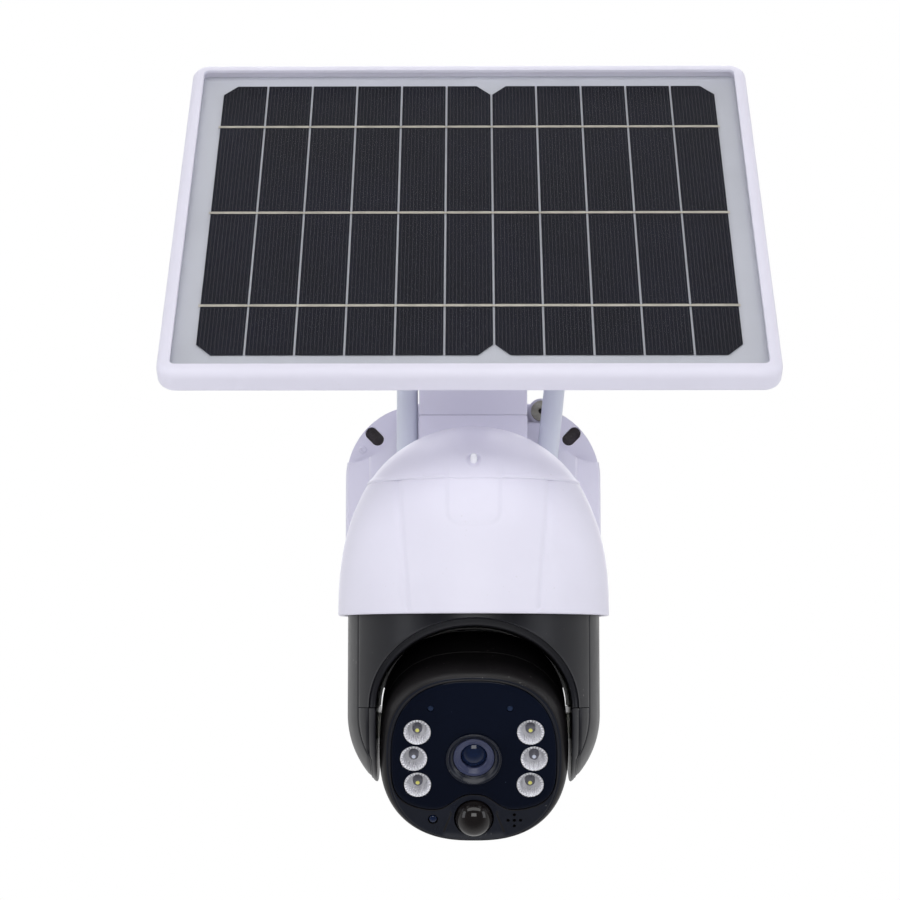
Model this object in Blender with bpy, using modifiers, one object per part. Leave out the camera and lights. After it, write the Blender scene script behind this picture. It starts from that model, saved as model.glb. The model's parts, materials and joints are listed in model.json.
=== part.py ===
"""A wall-mounted solar security camera: a tilting solar panel over a pan-and-tilt camera.

The frame is +Z up and +Y into the wall. The origin is the middle of the bracket's flat back.
Sizes below are in millimetres, and the helpers turn them into Blender's metres.
"""

from math import asin, cos, hypot, pi, radians, sin, sqrt, tan

import bmesh
import bpy
from mathutils import Matrix

MM = 0.001
GAP = 0.3  # clear space between two pieces that meet

# Wall bracket
PLATE_W, PLATE_H, PLATE_T, PLATE_CORNER = 103.0, 96.0, 12.0, 30.0
FLANGE_T, RAISED_T = 4.0, 15.5
SCALLOP_X, SCALLOP_Z, SCALLOP_R = 50.0, 44.0, 20.0
SLOT_X, SLOT_Z, SLOT_L, SLOT_W = 40.2, 35.3, 8.0, 4.2
NECK_HALF_W, NECK_FRONT, NECK_TOP = 21.5, -30.0, 41.0
LEAD_X, LEAD_Z, LEAD_FRONT = 27.5, 44.5, 14.0
SADDLE_HALF_W, SADDLE_TOP, SADDLE_BOTTOM = 33.5, 8.0, -36.0

# Hood, turned about the pan axis
PAN_Y = -64.0
HOOD_RIM_Z, HOOD_SEAM_Z, HOOD_TOP_Z = -39.1, 11.0, 33.2
HOOD_RIM_R, HOOD_SEAM_R = 51.4, 40.6
HOOD_WALL = 2.2
CAP_R = (HOOD_SEAM_R**2 + (HOOD_TOP_Z - HOOD_SEAM_Z) ** 2) / (2 * (HOOD_TOP_Z - HOOD_SEAM_Z))
CAP_CENTRE_Z = HOOD_TOP_Z - CAP_R
LIGHT_Z, LIGHT_R = 16.3, 2.7
SHIELD_W, SHIELD_TOP, SHIELD_LOW, SHIELD_OUT = 21.4, 20.5, -8.0, 1.2

# Yoke: a bell turned about the pan axis, with a tunnel for the head
YOKE_R, YOKE_WALL = 47.7, 2.2
YOKE_TOP_Z, YOKE_TURN_Z, YOKE_FOOT_R, YOKE_LOW_Z = -34.0, -76.0, 36.0, -102.1
TUNNEL_HALF_W, TUNNEL_SPRING_Z, TUNNEL_TOP_Z = 36.0, -73.3, -43.5
FOOT_SEAM_Z = -73.3
COVER_HALF_D = 21.2

# Head, modelled level about the tilt axis and then turned down
TILT_Z, TILT_REST = -80.5, radians(24.5)
HEAD_HALF, HEAD_POWER, FACE_Y = 35.0, 2.5, -28.0
HEAD_WALL = 2.2
BEZEL_BACK_Y, BALL_START_Y, BALL_END_Y = -10.0, 4.0, 33.0
WINDOW_HALF_W, WINDOW_TOP, WINDOW_LOW, WINDOW_T = 31.0, 31.3, 21.4, 1.5
NOTCH_RISE, NOTCH_W = 6.8, 9.3
LED_SPOTS = [(-20.8, 10.7), (-22.2, 0.0), (-20.8, -10.7), (20.8, 10.7), (22.2, 0.0), (20.8, -10.7)]
LED_R, LED_DEEP = 4.95, 5.6
LENS_HOLE_R, LENS_R = 10.2, 6.9
SENSOR_SPOTS = [(-15.8, 20.4), (13.2, 20.4)]
PIR_Z, PIR_R = -24.1, 7.1
EYE_X, EYE_Z = -15.2, -24.8
SPEAKER_X, SPEAKER_Z, SPEAKER_STEP = 15.0, -25.2, 2.3

# Gears: module, teeth of the wheel, teeth of the pinion
PAN_MODULE, PAN_TEETH, PAN_PINION_TEETH = 1.0, 46, 14
TILT_MODULE, TILT_TEETH, TILT_PINION_TEETH = 0.8, 30, 14
PAN_CENTRES = PAN_MODULE * (PAN_TEETH + PAN_PINION_TEETH) / 2
TILT_CENTRES = TILT_MODULE * (TILT_TEETH + TILT_PINION_TEETH) / 2
TILT_PINION_ANGLE = radians(-75)

# Solar panel, modelled flat about its hinge and then sloped
HINGE_Y, HINGE_Z, SLOPE = -57.4, 93.5, radians(51.7)
PANEL_W, PANEL_H, PANEL_T, PANEL_CORNER = 225.0, 180.0, 10.0, 7.0
PANEL_MID_Y, PANEL_FRONT = 8.0, 27.2
LIP = 6.0
PANEL_SHIFT = -1.6
CELL_COUNT, CELL_W, CELL_GAP, CELL_L, CELL_CHAMFER = 11, 17.3, 0.8, 156.0, 7.0
CHAMFERED_CELLS = {0: -1, 5: 1, 6: -1, 10: 1}
RIBBON_OFFSETS = (-52.0, 0.0, 52.0)
BARREL_R, EAR_R, TONGUE_HALF_W, EAR_W = 9.0, 8.5, 12.0, 6.0

# Antennas
ANTENNA_XS = {"left": -26.3, "right": 28.6}
ANTENNA_Y, ANTENNA_PIVOT_Z = -25.4, 17.0
ANTENNA_R, ANTENNA_L, ANTENNA_LEAN = 4.0, 99.0, radians(6.4)

STEPS = 36  # facets round a large turned piece


def colour(name, rgb, roughness, metallic=0.0):
    """One Principled material for each finish."""
    made = bpy.data.materials.new(name)
    made.use_nodes = True
    shader = made.node_tree.nodes["Principled BSDF"]
    shader.inputs["Base Color"].default_value = (*rgb, 1.0)
    shader.inputs["Roughness"].default_value = roughness
    shader.inputs["Metallic"].default_value = metallic
    return made


def clear_scene():
    for old in list(bpy.data.objects):
        bpy.data.objects.remove(old, do_unlink=True)


clear_scene()
PARTS = bpy.data.collections.new("solar_camera")
CUTTERS = bpy.data.collections.new("cutters")
for group in (PARTS, CUTTERS):
    bpy.context.scene.collection.children.link(group)

WHITE = colour("white_plastic", (0.86, 0.86, 0.90), 0.35)
BLACK = colour("black_plastic", (0.022, 0.022, 0.025), 0.5)
GLOSS = colour("black_acrylic", (0.004, 0.005, 0.012), 0.08)
GREY = colour("antenna_plastic", (0.70, 0.72, 0.78), 0.45)
RUBBER = colour("rubber", (0.12, 0.12, 0.10), 0.8)
STEEL = colour("steel", (0.60, 0.60, 0.62), 0.3, 1.0)
MIRROR = colour("reflector", (0.85, 0.86, 0.90), 0.12, 1.0)
BOARD = colour("circuit_board", (0.02, 0.16, 0.07), 0.5)
CELLS = colour("solar_cell", (0.008, 0.009, 0.018), 0.3)
SHEET = colour("back_sheet", (0.62, 0.66, 0.70), 0.4)
GLASS = colour("clear_glass", (0.80, 0.85, 0.88), 0.05)
LENS = colour("lens_glass", (0.02, 0.03, 0.09), 0.05)
NYLON = colour("gear_nylon", (0.75, 0.74, 0.68), 0.5)
SLEEVE = colour("battery_sleeve", (0.04, 0.16, 0.45), 0.4)


def axis_empty(name, place, turn=(0.0, 0.0, 0.0), parent=None):
    """An empty on a joint's axis, which the moving pieces hang from."""
    empty = bpy.data.objects.new(name, None)
    empty.location = [MM * v for v in place]
    empty.rotation_euler = turn
    empty.parent = parent
    PARTS.objects.link(empty)
    return empty


PAN = axis_empty("pan_axis", (0, PAN_Y, 0))
TILT = axis_empty("tilt_axis", (0, 0, TILT_Z), (TILT_REST, 0, 0), PAN)
PANEL = axis_empty("panel_hinge_axis", (0, HINGE_Y, HINGE_Z), (SLOPE, 0, 0))
LAMINATE = axis_empty("panel_centre", (PANEL_SHIFT, 0, 0), (0, 0, 0), PANEL)


def place(obj, where=(0, 0, 0), turn=(0, 0, 0), parent=None):
    obj.location = [MM * v for v in where]
    obj.rotation_euler = turn
    obj.parent = parent
    return obj


def new_object(name, mesh, material):
    """A mesh object: a part if it has a material, or else a cutter."""
    obj = bpy.data.objects.new(name, mesh)
    if material is None:
        CUTTERS.objects.link(obj)
        obj.hide_render = True
        obj.display_type = "WIRE"
    else:
        PARTS.objects.link(obj)
        mesh.materials.append(material)
    return obj


def from_bmesh(name, bm, material):
    mesh = bpy.data.meshes.new(name)
    bm.to_mesh(mesh)
    bm.free()
    return new_object(name, mesh, material)


def smooth(obj, angle=35):
    obj.data.shade_smooth()
    obj.data.set_sharp_from_angle(angle=radians(angle))
    return obj


def block(name, low, high, material=None):
    """A box between two corners, in its parent's frame."""
    bm = bmesh.new()
    bmesh.ops.create_cube(bm, size=1)
    size = [MM * (b - a) for a, b in zip(low, high)]
    middle = [MM * (a + b) / 2 for a, b in zip(low, high)]
    bmesh.ops.scale(bm, vec=size, verts=bm.verts)
    bmesh.ops.translate(bm, vec=middle, verts=bm.verts)
    return from_bmesh(name, bm, material)


TURN_TO = {"X": Matrix.Rotation(pi / 2, 4, "Y"), "Y": Matrix.Rotation(-pi / 2, 4, "X"), "Z": Matrix()}


def rod(name, start, length, radius, along="Z", material=None, radius2=None, sides=24):
    """A cylinder or cone from start, running length along an axis of its parent's frame."""
    bm = bmesh.new()
    bmesh.ops.create_cone(
        bm,
        cap_ends=True,
        segments=sides,
        radius1=MM * radius,
        radius2=MM * (radius if radius2 is None else radius2),
        depth=MM * length,
        matrix=Matrix.Translation((0, 0, MM * length / 2)),
    )
    bmesh.ops.transform(bm, matrix=TURN_TO[along], verts=bm.verts)
    bmesh.ops.translate(bm, vec=[MM * v for v in start], verts=bm.verts)
    return from_bmesh(name, bm, material)


def turned(name, profile, material=None, closed=True, steps=STEPS):
    """A profile of (radius, height) points, down the outer side first, turned about Z."""
    bm = bmesh.new()
    points = [bm.verts.new((MM * r, 0, MM * z)) for r, z in profile]
    ends = points[1:] + points[:1] if closed else points[1:]
    for a, b in zip(points, ends):
        bm.edges.new((a, b))
    obj = from_bmesh(name, bm, material)
    screw = obj.modifiers.new("turn", "SCREW")
    screw.steps = screw.render_steps = steps
    screw.use_merge_vertices = True
    screw.merge_threshold = 0.00001
    return obj


PLANES = {"XY": (0, 0, 0), "XZ": (pi / 2, 0, 0), "YZ": (pi / 2, 0, pi / 2)}


def flat(name, outlines, low, high, plane="XY", material=None):
    """Outlines (the first is the edge, the others are holes) extruded from low to high.

    XY extrudes along +Z, XZ along -Y (low and high are then depths in front), and YZ along +X.
    """
    curve = bpy.data.curves.new(name, "CURVE")
    curve.dimensions = "2D"
    curve.fill_mode = "BOTH"
    curve.extrude = MM * (high - low) / 2
    for outline in outlines:
        spline = curve.splines.new("POLY")
        spline.points.add(len(outline) - 1)
        for point, (x, y) in zip(spline.points, outline):
            point.co = (MM * x, MM * y, 0, 1)
        spline.use_cyclic_u = True
    drawn = bpy.data.objects.new(name + "_outline", curve)
    CUTTERS.objects.link(drawn)
    bpy.context.view_layer.update()
    mesh = bpy.data.meshes.new_from_object(drawn.evaluated_get(bpy.context.evaluated_depsgraph_get()))
    bpy.data.objects.remove(drawn, do_unlink=True)
    bm = bmesh.new()
    bm.from_mesh(mesh)
    bmesh.ops.remove_doubles(bm, verts=bm.verts, dist=0.000001)
    bmesh.ops.recalc_face_normals(bm, faces=bm.faces)
    bmesh.ops.translate(bm, vec=(0, 0, MM * (low + high) / 2), verts=bm.verts)
    turn = PLANES[plane]
    bmesh.ops.transform(bm, matrix=Matrix.Rotation(turn[0], 4, "X"), verts=bm.verts)
    bmesh.ops.transform(bm, matrix=Matrix.Rotation(turn[2], 4, "Z"), verts=bm.verts)
    mesh.clear_geometry()
    mesh.materials.clear()
    bm.to_mesh(mesh)
    bm.free()
    mesh.name = name
    return new_object(name, mesh, material)


def boolean(obj, other, operation):
    step = obj.modifiers.new(operation.lower(), "BOOLEAN")
    step.operation = operation
    step.object = other
    return obj


def cut(obj, *cutters):
    for cutter in cutters:
        boolean(obj, cutter, "DIFFERENCE")
    return obj


def join(obj, *others):
    for other in others:
        boolean(obj, other, "UNION")
    return obj


def keep(obj, region):
    return boolean(obj, region, "INTERSECT")


# Outlines, as lists of (x, y) points


def circle(x, y, radius, sides=24, start=0.0):
    return [
        (x + radius * cos(start + 2 * pi * k / sides), y + radius * sin(start + 2 * pi * k / sides))
        for k in range(sides)
    ]


def arc(x, y, radius, start, end, steps):
    """Points on an arc from one angle to another, in degrees."""
    angles = [radians(start + (end - start) * k / steps) for k in range(steps + 1)]
    return [(x + radius * cos(a), y + radius * sin(a)) for a in angles]


def rounded_box(width, height, radius, steps=5, x=0.0, y=0.0):
    cx, cy = width / 2 - radius, height / 2 - radius
    corners = [(cx, cy, 0), (-cx, cy, 90), (-cx, -cy, 180), (cx, -cy, 270)]
    return [p for a, b, turn in corners for p in arc(x + a, y + b, radius, turn, turn + 90, steps)]


def slot(x, y, length, width, angle):
    """A stadium-shaped hole whose long side lies at an angle, in degrees."""
    reach = (length - width) / 2
    dx, dy = reach * cos(radians(angle)), reach * sin(radians(angle))
    return arc(x + dx, y + dy, width / 2, angle - 90, angle + 90, 6) + arc(
        x - dx, y - dy, width / 2, angle + 90, angle + 270, 6
    )


def superellipse(half_w, half_h, power, sides=40):
    """|x/a|^n + |y/b|^n = 1."""
    angles = [2 * pi * k / sides for k in range(sides)]
    return [
        (
            half_w * abs(cos(a)) ** (2 / power) * (1 if cos(a) >= 0 else -1),
            half_h * abs(sin(a)) ** (2 / power) * (1 if sin(a) >= 0 else -1),
        )
        for a in angles
    ]


def window_outline(inset=0.0, sides=18):
    """The face window: a superellipse above, a squarer one below, and a notch over the PIR dome."""
    width = WINDOW_HALF_W - inset
    upper = superellipse(width, WINDOW_TOP - inset, HEAD_POWER, 2 * sides)[: sides + 1]
    lower = []
    for k in range(1, 2 * (sides // 2)):
        x = -width * cos(pi * k / (2 * (sides // 2)))
        side = (1 - abs(x / width) ** 3.8) ** (1 / 3.8)
        rise = NOTCH_RISE * 2.718281828 ** (-((abs(x) / NOTCH_W) ** 2.8))
        lower.append((x, rise - (WINDOW_LOW - inset) * side))
    return upper + lower


def gear_outline(module, teeth, backlash=0.3, phase=0.0):
    """Involute teeth drawn with straight flanks, which lie just inside the true curve."""
    pitch_r = module * teeth / 2
    base_r = pitch_r * cos(radians(20))
    tip_r, root_r = pitch_r + 0.85 * module, pitch_r - 1.2 * module

    def involute(r):
        t = sqrt(max((r / base_r) ** 2 - 1, 0))
        return t - asin(t / sqrt(1 + t * t))

    half = pi / (2 * teeth) - backlash / (4 * pitch_r) + involute(pitch_r)
    points = []
    for k in range(teeth):
        middle = phase + 2 * pi * k / teeth
        for r, side in ((root_r, -1), (tip_r, -1), (tip_r, 1), (root_r, 1)):
            a = middle + side * (half - involute(max(r, base_r)))
            points.append((r * cos(a), r * sin(a)))
    return points


# Hood: the power curve of the skirt, and the ball of the cap


def skirt_radius(z, out=0.0):
    share = (z - HOOD_RIM_Z) / (HOOD_SEAM_Z - HOOD_RIM_Z)
    return HOOD_RIM_R + out - (HOOD_RIM_R - HOOD_SEAM_R) * max(share, 0) ** 2.6


def skirt_side(out, low, high, count):
    heights = [high + (low - high) * k / count for k in range(count + 1)]
    return [(skirt_radius(z, out), z) for z in heights]


def cap_side(out, start_r, count):
    """The ball from its top to a radius, as (radius, height) points."""
    ball = CAP_R + out
    end = asin(start_r / ball)
    angles = [end * k / count for k in range(count + 1)]
    return [(ball * sin(a), CAP_CENTRE_Z + ball * cos(a)) for a in angles]


def make_hood():
    """The skirt, and the cap whose tongue hangs down over the skirt's front."""
    seam_low, seam_high = HOOD_SEAM_Z - GAP / 2, HOOD_SEAM_Z + GAP / 2
    outer = skirt_side(0, HOOD_RIM_Z + 1.8, seam_low, 6)
    rim = [(HOOD_RIM_R - 0.5, HOOD_RIM_Z + 0.5), (HOOD_RIM_R - 1.8, HOOD_RIM_Z)]
    inner = skirt_side(-HOOD_WALL, HOOD_RIM_Z + 1.8, seam_low, 4)
    skirt = place(turned("hood_skirt", outer + rim + inner[::-1], WHITE), parent=PAN)
    outer = cap_side(0, HOOD_SEAM_R, 6)[:-1] + [(HOOD_SEAM_R, seam_high)]
    inner = cap_side(-HOOD_WALL, HOOD_SEAM_R - HOOD_WALL, 4)[:-1] + [(HOOD_SEAM_R - HOOD_WALL, seam_high)]
    cap = place(turned("hood_cap", outer + inner[::-1], WHITE, closed=False), parent=PAN)

    ball = cap_side(SHIELD_OUT, HOOD_SEAM_R, 6)[2:]
    sheet = ball + skirt_side(SHIELD_OUT, SHIELD_LOW - 3, HOOD_SEAM_Z - 2, 3)
    back = skirt_side(GAP, SHIELD_LOW - 3, HOOD_SEAM_Z, 3)[::-1]
    sheet += back + [(r, z + 0.15) for r, z in cap_side(-0.8, HOOD_SEAM_R - 0.8, 6)[2:][::-1]]
    shield = place(turned("shield_sheet", sheet), parent=PAN)
    half = SHIELD_W / 2
    sides = [(half, SHIELD_TOP), (-half, SHIELD_TOP)]
    low_end = arc(-half + 5, SHIELD_LOW + 5, 5, 180, 270, 4) + arc(half - 5, SHIELD_LOW + 5, 5, 270, 360, 4)
    keep(shield, place(flat("shield_shape", [sides + low_end], 5, 70, "XZ"), parent=PAN))
    join(cap, shield)

    front_y = -sqrt((CAP_R + SHIELD_OUT) ** 2 - (LIGHT_Z - CAP_CENTRE_Z) ** 2)
    hole = rod("light_hole", (0, front_y - 6, LIGHT_Z), 16, LIGHT_R, "Y", sides=16)
    cut(cap, place(hole, parent=PAN))
    light = rod("status_light", (0, front_y + 0.8, LIGHT_Z), 4, LIGHT_R - GAP, "Y", GLASS, sides=16)
    place(light, parent=PAN)
    for piece in (skirt, cap, light):
        smooth(piece)
    return skirt


def hood_envelope(out):
    """The hood's outside, grown a little, which the bracket is hollowed to fit."""
    side = cap_side(out, HOOD_SEAM_R + out, 6)[:-1] + skirt_side(out, HOOD_RIM_Z - 4, HOOD_SEAM_Z, 6)
    profile = side + [(0, HOOD_RIM_Z - 4)]
    return place(turned("hood_envelope", profile, closed=False), parent=PAN)


def make_bracket():
    """The wall plate with its saddle for the hood, the neck for the panel arm, and ribs behind."""
    outline = rounded_box(PLATE_W, PLATE_H, PLATE_CORNER, 7)
    plate = flat("wall_bracket", [outline], 0, PLATE_T, "XZ", WHITE)
    raised = flat("raised_face", [rounded_box(84, 80, 12, 4)], 6, RAISED_T, "XZ")
    neck = block("neck", (-NECK_HALF_W, NECK_FRONT, -10), (NECK_HALF_W, -7, NECK_TOP))
    saddle = block("saddle", (-SADDLE_HALF_W, -40, SADDLE_BOTTOM), (SADDLE_HALF_W, -8, SADDLE_TOP))
    boss = rod("lead_boss", (LEAD_X, -LEAD_FRONT, LEAD_Z), LEAD_FRONT - 3, 5.2, "Y", sides=20)
    join(plate, raised, neck, saddle, boss)
    for sx in (-1, 1):
        for sz in (-1, 1):
            at = (sx * SCALLOP_X, -60, sz * SCALLOP_Z)
            cut(plate, rod(f"scallop_{sx}_{sz}", at, 60 - FLANGE_T, SCALLOP_R, "Y", sides=28))
            hole = slot(sx * SLOT_X, sz * SLOT_Z, SLOT_L, SLOT_W, 45 * sx * sz)
            cut(plate, flat(f"slot_{sx}_{sz}", [hole], -5, 20, "XZ"))
            low = (min(sx * 3, sx * 27), -9, min(sz * 3, sz * 40))
            high = (max(sx * 3, sx * 27), 2, max(sz * 3, sz * 40))
            cut(plate, block(f"pocket_{sx}_{sz}", low, high))
    cut(plate, hood_envelope(GAP))
    cut(plate, rod("lead_hole", (LEAD_X, -20, LEAD_Z), 30, 2.8, "Y", sides=16))
    for side, sx in (("left", -1), ("right", 1)):
        bore = rod(f"hood_screw_bore_{side}", (sx * 17, -30, -22), 40, 1.8, "Y", sides=12)
        stud = rod(f"antenna_bore_{side}", (ANTENNA_XS[side], ANTENNA_Y, 4.2), 20, 2.3, "Z", sides=12)
        cut(plate, bore, stud)
    smooth(plate, 25)
    seal = [(4.2, 1.6), (4.2, 0), (2.5, 0), (2.5, -6), (1.2, -6), (1.2, 1.6)]
    grommet = turned("cable_grommet", seal, RUBBER, steps=16)
    smooth(place(grommet, (LEAD_X, -LEAD_FRONT - GAP, LEAD_Z), (pi / 2, 0, 0)))
    return plate


def screw(name, where, length, radius, head_r, head_t, material=STEEL):
    """A pan-head screw whose shank runs along -Y from the head's underside."""
    shank = rod(name, (0, -length, 0), length + 0.5, radius, "Y", material, sides=12)
    head = rod(name + "_head", (0, 0, 0), head_t, head_r, "Y", sides=12)
    drive = block(name + "_drive", (-head_r * 0.6, head_t - 0.6, -0.5), (head_r * 0.6, head_t + 1, 0.5))
    join(shank, head)
    cut(shank, drive)
    for piece in (shank, head, drive):
        place(piece, where)
    return shank


def make_chassis(skirt):
    """What the hood holds: the plate on which the pan drive turns, the batteries and the board."""
    low, high = -29.2, -26.7
    ring = [(15.0, -19.0), (15.0, high), (44.0, high), (44.0, low), (10.5, low), (10.5, -27.2)]
    ring += [(13.2, -27.2), (13.2, -19.0)]
    chassis = place(turned("chassis", ring, BLACK, steps=32), parent=PAN)
    for side, sx in (("left", -1), ("right", 1)):
        post = block(f"screw_post_{side}", (sx * 17 - 3.5, -30, -28), (sx * 17 + 3.5, -22.5, -18.5))
        join(chassis, post)
        cut(chassis, rod(f"post_hole_{side}", (sx * 17, -40, -22), 24, 1.8, "Y", sides=12))
        cut(skirt, rod(f"skirt_hole_{side}", (sx * 17, -26, -22), 20, 1.8, "Y", sides=12))
        screw(f"hood_screw_{side}", (sx * 17, -6.5, -22), 21.5, 1.5, 3.0, 2.2)
    shaft_hole = rod("pan_shaft_hole", (0, PAN_CENTRES, -40), 30, 2.3, "Z", sides=12)
    cut(chassis, place(shaft_hole, parent=PAN))

    bearing = [(12.9, -20.8), (12.9, -26.8), (9.3, -26.8), (9.3, -20.8)]
    place(turned("pan_bearing", bearing, STEEL, steps=28), parent=PAN)

    motor = rod("pan_motor", (0, PAN_CENTRES, high + GAP), 14.5, 12.5, "Z", STEEL, sides=28)
    shaft = place(rod("pan_shaft", (0, PAN_CENTRES, -33.4), 10, 1.5, "Z", sides=12), parent=PAN)
    join(place(motor, parent=PAN), shaft)

    for name, offset in (("battery_front", -9.8), ("battery_rear", 9.8)):
        cell = rod(name, (-32.5, offset, 1.5), 65, 9.2, "X", SLEEVE, sides=24)
        tip = place(rod(name + "_tip", (32, offset, 1.5), 1.6, 3, "X", sides=12), parent=PAN)
        smooth(join(place(cell, parent=PAN), tip))
    tray = block("battery_tray", (-35, -21, -10.9), (35, 21, -5.0), SHEET)
    for offset in (-9.8, 9.8):
        cradle = rod(f"cradle_{offset}", (-33.4, offset, 1.5), 67, 9.5, "X", sides=24)
        cut(tray, place(cradle, parent=PAN))
    place(tray, parent=PAN)

    board = block("main_board", (-27, -19, 12.0), (27, 19, 13.6), BOARD)
    chip = place(block("processor", (-7, -7, 13.5), (7, 7, 14.8)), parent=PAN)
    socket = place(block("battery_socket", (14, -12, 13.5), (24, -4, 17.5)), parent=PAN)
    join(place(board, parent=PAN), chip, socket)


def bell(out=0.0, name="bell"):
    """The yoke's outside: a straight side, then a quarter curve in to the feet."""
    depth = YOKE_TURN_Z - YOKE_LOW_Z
    drop = YOKE_R - YOKE_FOOT_R
    curve_r = (depth**2 + drop**2) / (2 * drop)
    angles = [asin(depth / curve_r) * k / 7 for k in range(8)]
    side = [(YOKE_R - curve_r * (1 - cos(a)) + out, YOKE_TURN_Z - curve_r * sin(a)) for a in angles]
    profile = [(0, YOKE_TOP_Z + out), (YOKE_R + out, YOKE_TOP_Z + out), *side]
    profile += [(YOKE_FOOT_R + out - 6, YOKE_LOW_Z - 0.1), (0, YOKE_LOW_Z - 0.1)]
    return place(turned(name, profile, closed=False), parent=PAN)


def tunnel(out=0.0, name="tunnel"):
    """The space for the head: straight sides under an elliptical arch, right through along Y."""
    half, rise = TUNNEL_HALF_W + out, TUNNEL_TOP_Z - TUNNEL_SPRING_Z + out
    arch = [(half * cos(a), TUNNEL_SPRING_Z + rise * sin(a)) for a in [pi * k / 20 for k in range(21)]]
    outline = [(half, -120), *arch, (-half, -120)]
    return place(flat(name, [outline], -60, 60, "XZ"), parent=PAN)


def region(name, low, high):
    return place(block(name, low, high), parent=PAN)


def yoke_solid(name, material):
    """The bell with its tunnel cut through, hollow between the two walls."""
    body = bell(0, name)
    CUTTERS.objects.unlink(body)
    PARTS.objects.link(body)
    body.hide_render = False
    body.display_type = "TEXTURED"
    body.data.materials.append(material)
    return cut(body, HEAD_TUNNEL, YOKE_CAVITY)


def make_yoke():
    seam = FOOT_SEAM_Z
    depth = COVER_HALF_D
    cover_space = [
        region(f"cover_space_{name}", (near, -depth, -120), (far, depth, -36.6))
        for name, near, far in (("left", -60, -38), ("right", 38, 60))
    ]
    hub_hole = place(rod("hub_hole", (0, 0, -50), 30, 6.3, "Z", sides=20), parent=PAN)
    axle_holes = [
        place(rod(f"axle_hole_{along}", (x, 0, TILT_Z), 8, 5.3, "X", sides=20), parent=PAN)
        for along, x in (("left", -41), ("right", 33))
    ]
    for name, near, far in (("yoke_front", -70, -GAP / 2), ("yoke_rear", GAP / 2, 70)):
        shell = yoke_solid(name, BLACK)
        keep(shell, region(name + "_half", (-70, near, seam + GAP / 2), (70, far, 0)))
        smooth(cut(shell, hub_hole, *cover_space), 25)
    for side, sx, cover, hole in (
        ("left", -1, cover_space[0], axle_holes[0]),
        ("right", 1, cover_space[1], axle_holes[1]),
    ):
        foot = yoke_solid(f"arm_foot_{side}", BLACK)
        low, high = (min(0, sx * 70), -70, -120), (max(0, sx * 70), 70, seam - GAP / 2)
        keep(foot, region(f"foot_space_{side}", low, high))
        smooth(cut(foot, cover, hole), 25)
        shell = yoke_solid(f"arm_cover_{side}", BLACK)
        reach = (min(sx * 38.5, sx * 60), max(sx * 38.5, sx * 60))
        inside = region(
            f"cover_edge_{side}", (reach[0], -depth + GAP, -101), (reach[1], depth - GAP, -36.9)
        )
        smooth(keep(shell, inside), 25)


def make_pan_gear():
    """The wheel on the yoke's top, whose hub hangs in the bearing, and the ring that holds it."""
    outline = gear_outline(PAN_MODULE, PAN_TEETH, phase=pi / 2)
    gear = place(flat("pan_gear", [outline], -33.7, -29.7, "XY", NYLON), parent=PAN)
    stem = [(0, -20.6), (9.0, -20.6), (9.0, -31.5), (6.0, -31.5), (6.0, -38), (0, -38)]
    hub = place(turned("pan_hub", stem, closed=False, steps=24), parent=PAN)
    bore = place(rod("hub_bore", (0, 0, -50), 50, 4.0, "Z", sides=20), parent=PAN)
    cut(join(gear, hub), bore)
    clip = [(12.5, -18.9), (12.5, -20.3), (4.2, -20.3), (4.2, -18.9)]
    place(turned("pan_retainer", clip, STEEL, steps=24), parent=PAN)
    pinion_axis = axis_empty("pan_pinion_axis", (0, PAN_CENTRES, 0), (0, 0, 0), PAN)
    phase = -pi / 2 + pi / PAN_PINION_TEETH
    outline = gear_outline(PAN_MODULE, PAN_PINION_TEETH, phase=phase)
    pinion = flat("pan_pinion", [outline, circle(0, 0, 1.8, 12)], -33.2, -30.0, "XY", NYLON)
    place(pinion, parent=pinion_axis)


def head_body(name, inset, front, back, material=None):
    """Superellipse rings along Y: a straight barrel in front and a ball behind."""
    sides = 36
    reach = BALL_END_Y - inset - BALL_START_Y
    ball = [(BALL_START_Y + reach * sin(a), cos(a)) for a in [radians(d) for d in (0, 27, 49, 67, 81)]]
    stations = [(front, 1.0)] + ([(back, 1.0)] if back <= BALL_START_Y else ball)
    bm = bmesh.new()
    rings = []
    for y, scale in stations:
        half = (HEAD_HALF - inset) * scale
        outline = superellipse(half, half, HEAD_POWER, sides)
        rings.append([bm.verts.new((MM * x, MM * y, MM * z)) for x, z in outline])
    for a, b in zip(rings, rings[1:]):
        for k in range(sides):
            bm.faces.new((a[k], a[(k + 1) % sides], b[(k + 1) % sides], b[k]))
    bm.faces.new(rings[0])
    bm.faces.new(rings[-1])
    bmesh.ops.recalc_face_normals(bm, faces=bm.faces)
    return place(from_bmesh(name, bm, material), parent=TILT)


def in_head(obj):
    return place(obj, parent=TILT)


def head_plate(name, outlines, front, thickness, material=None):
    """A flat piece of the face, whose front lies at y = front in the head's frame."""
    return in_head(flat(name, outlines, -front - thickness, -front, "XZ", material))


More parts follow.
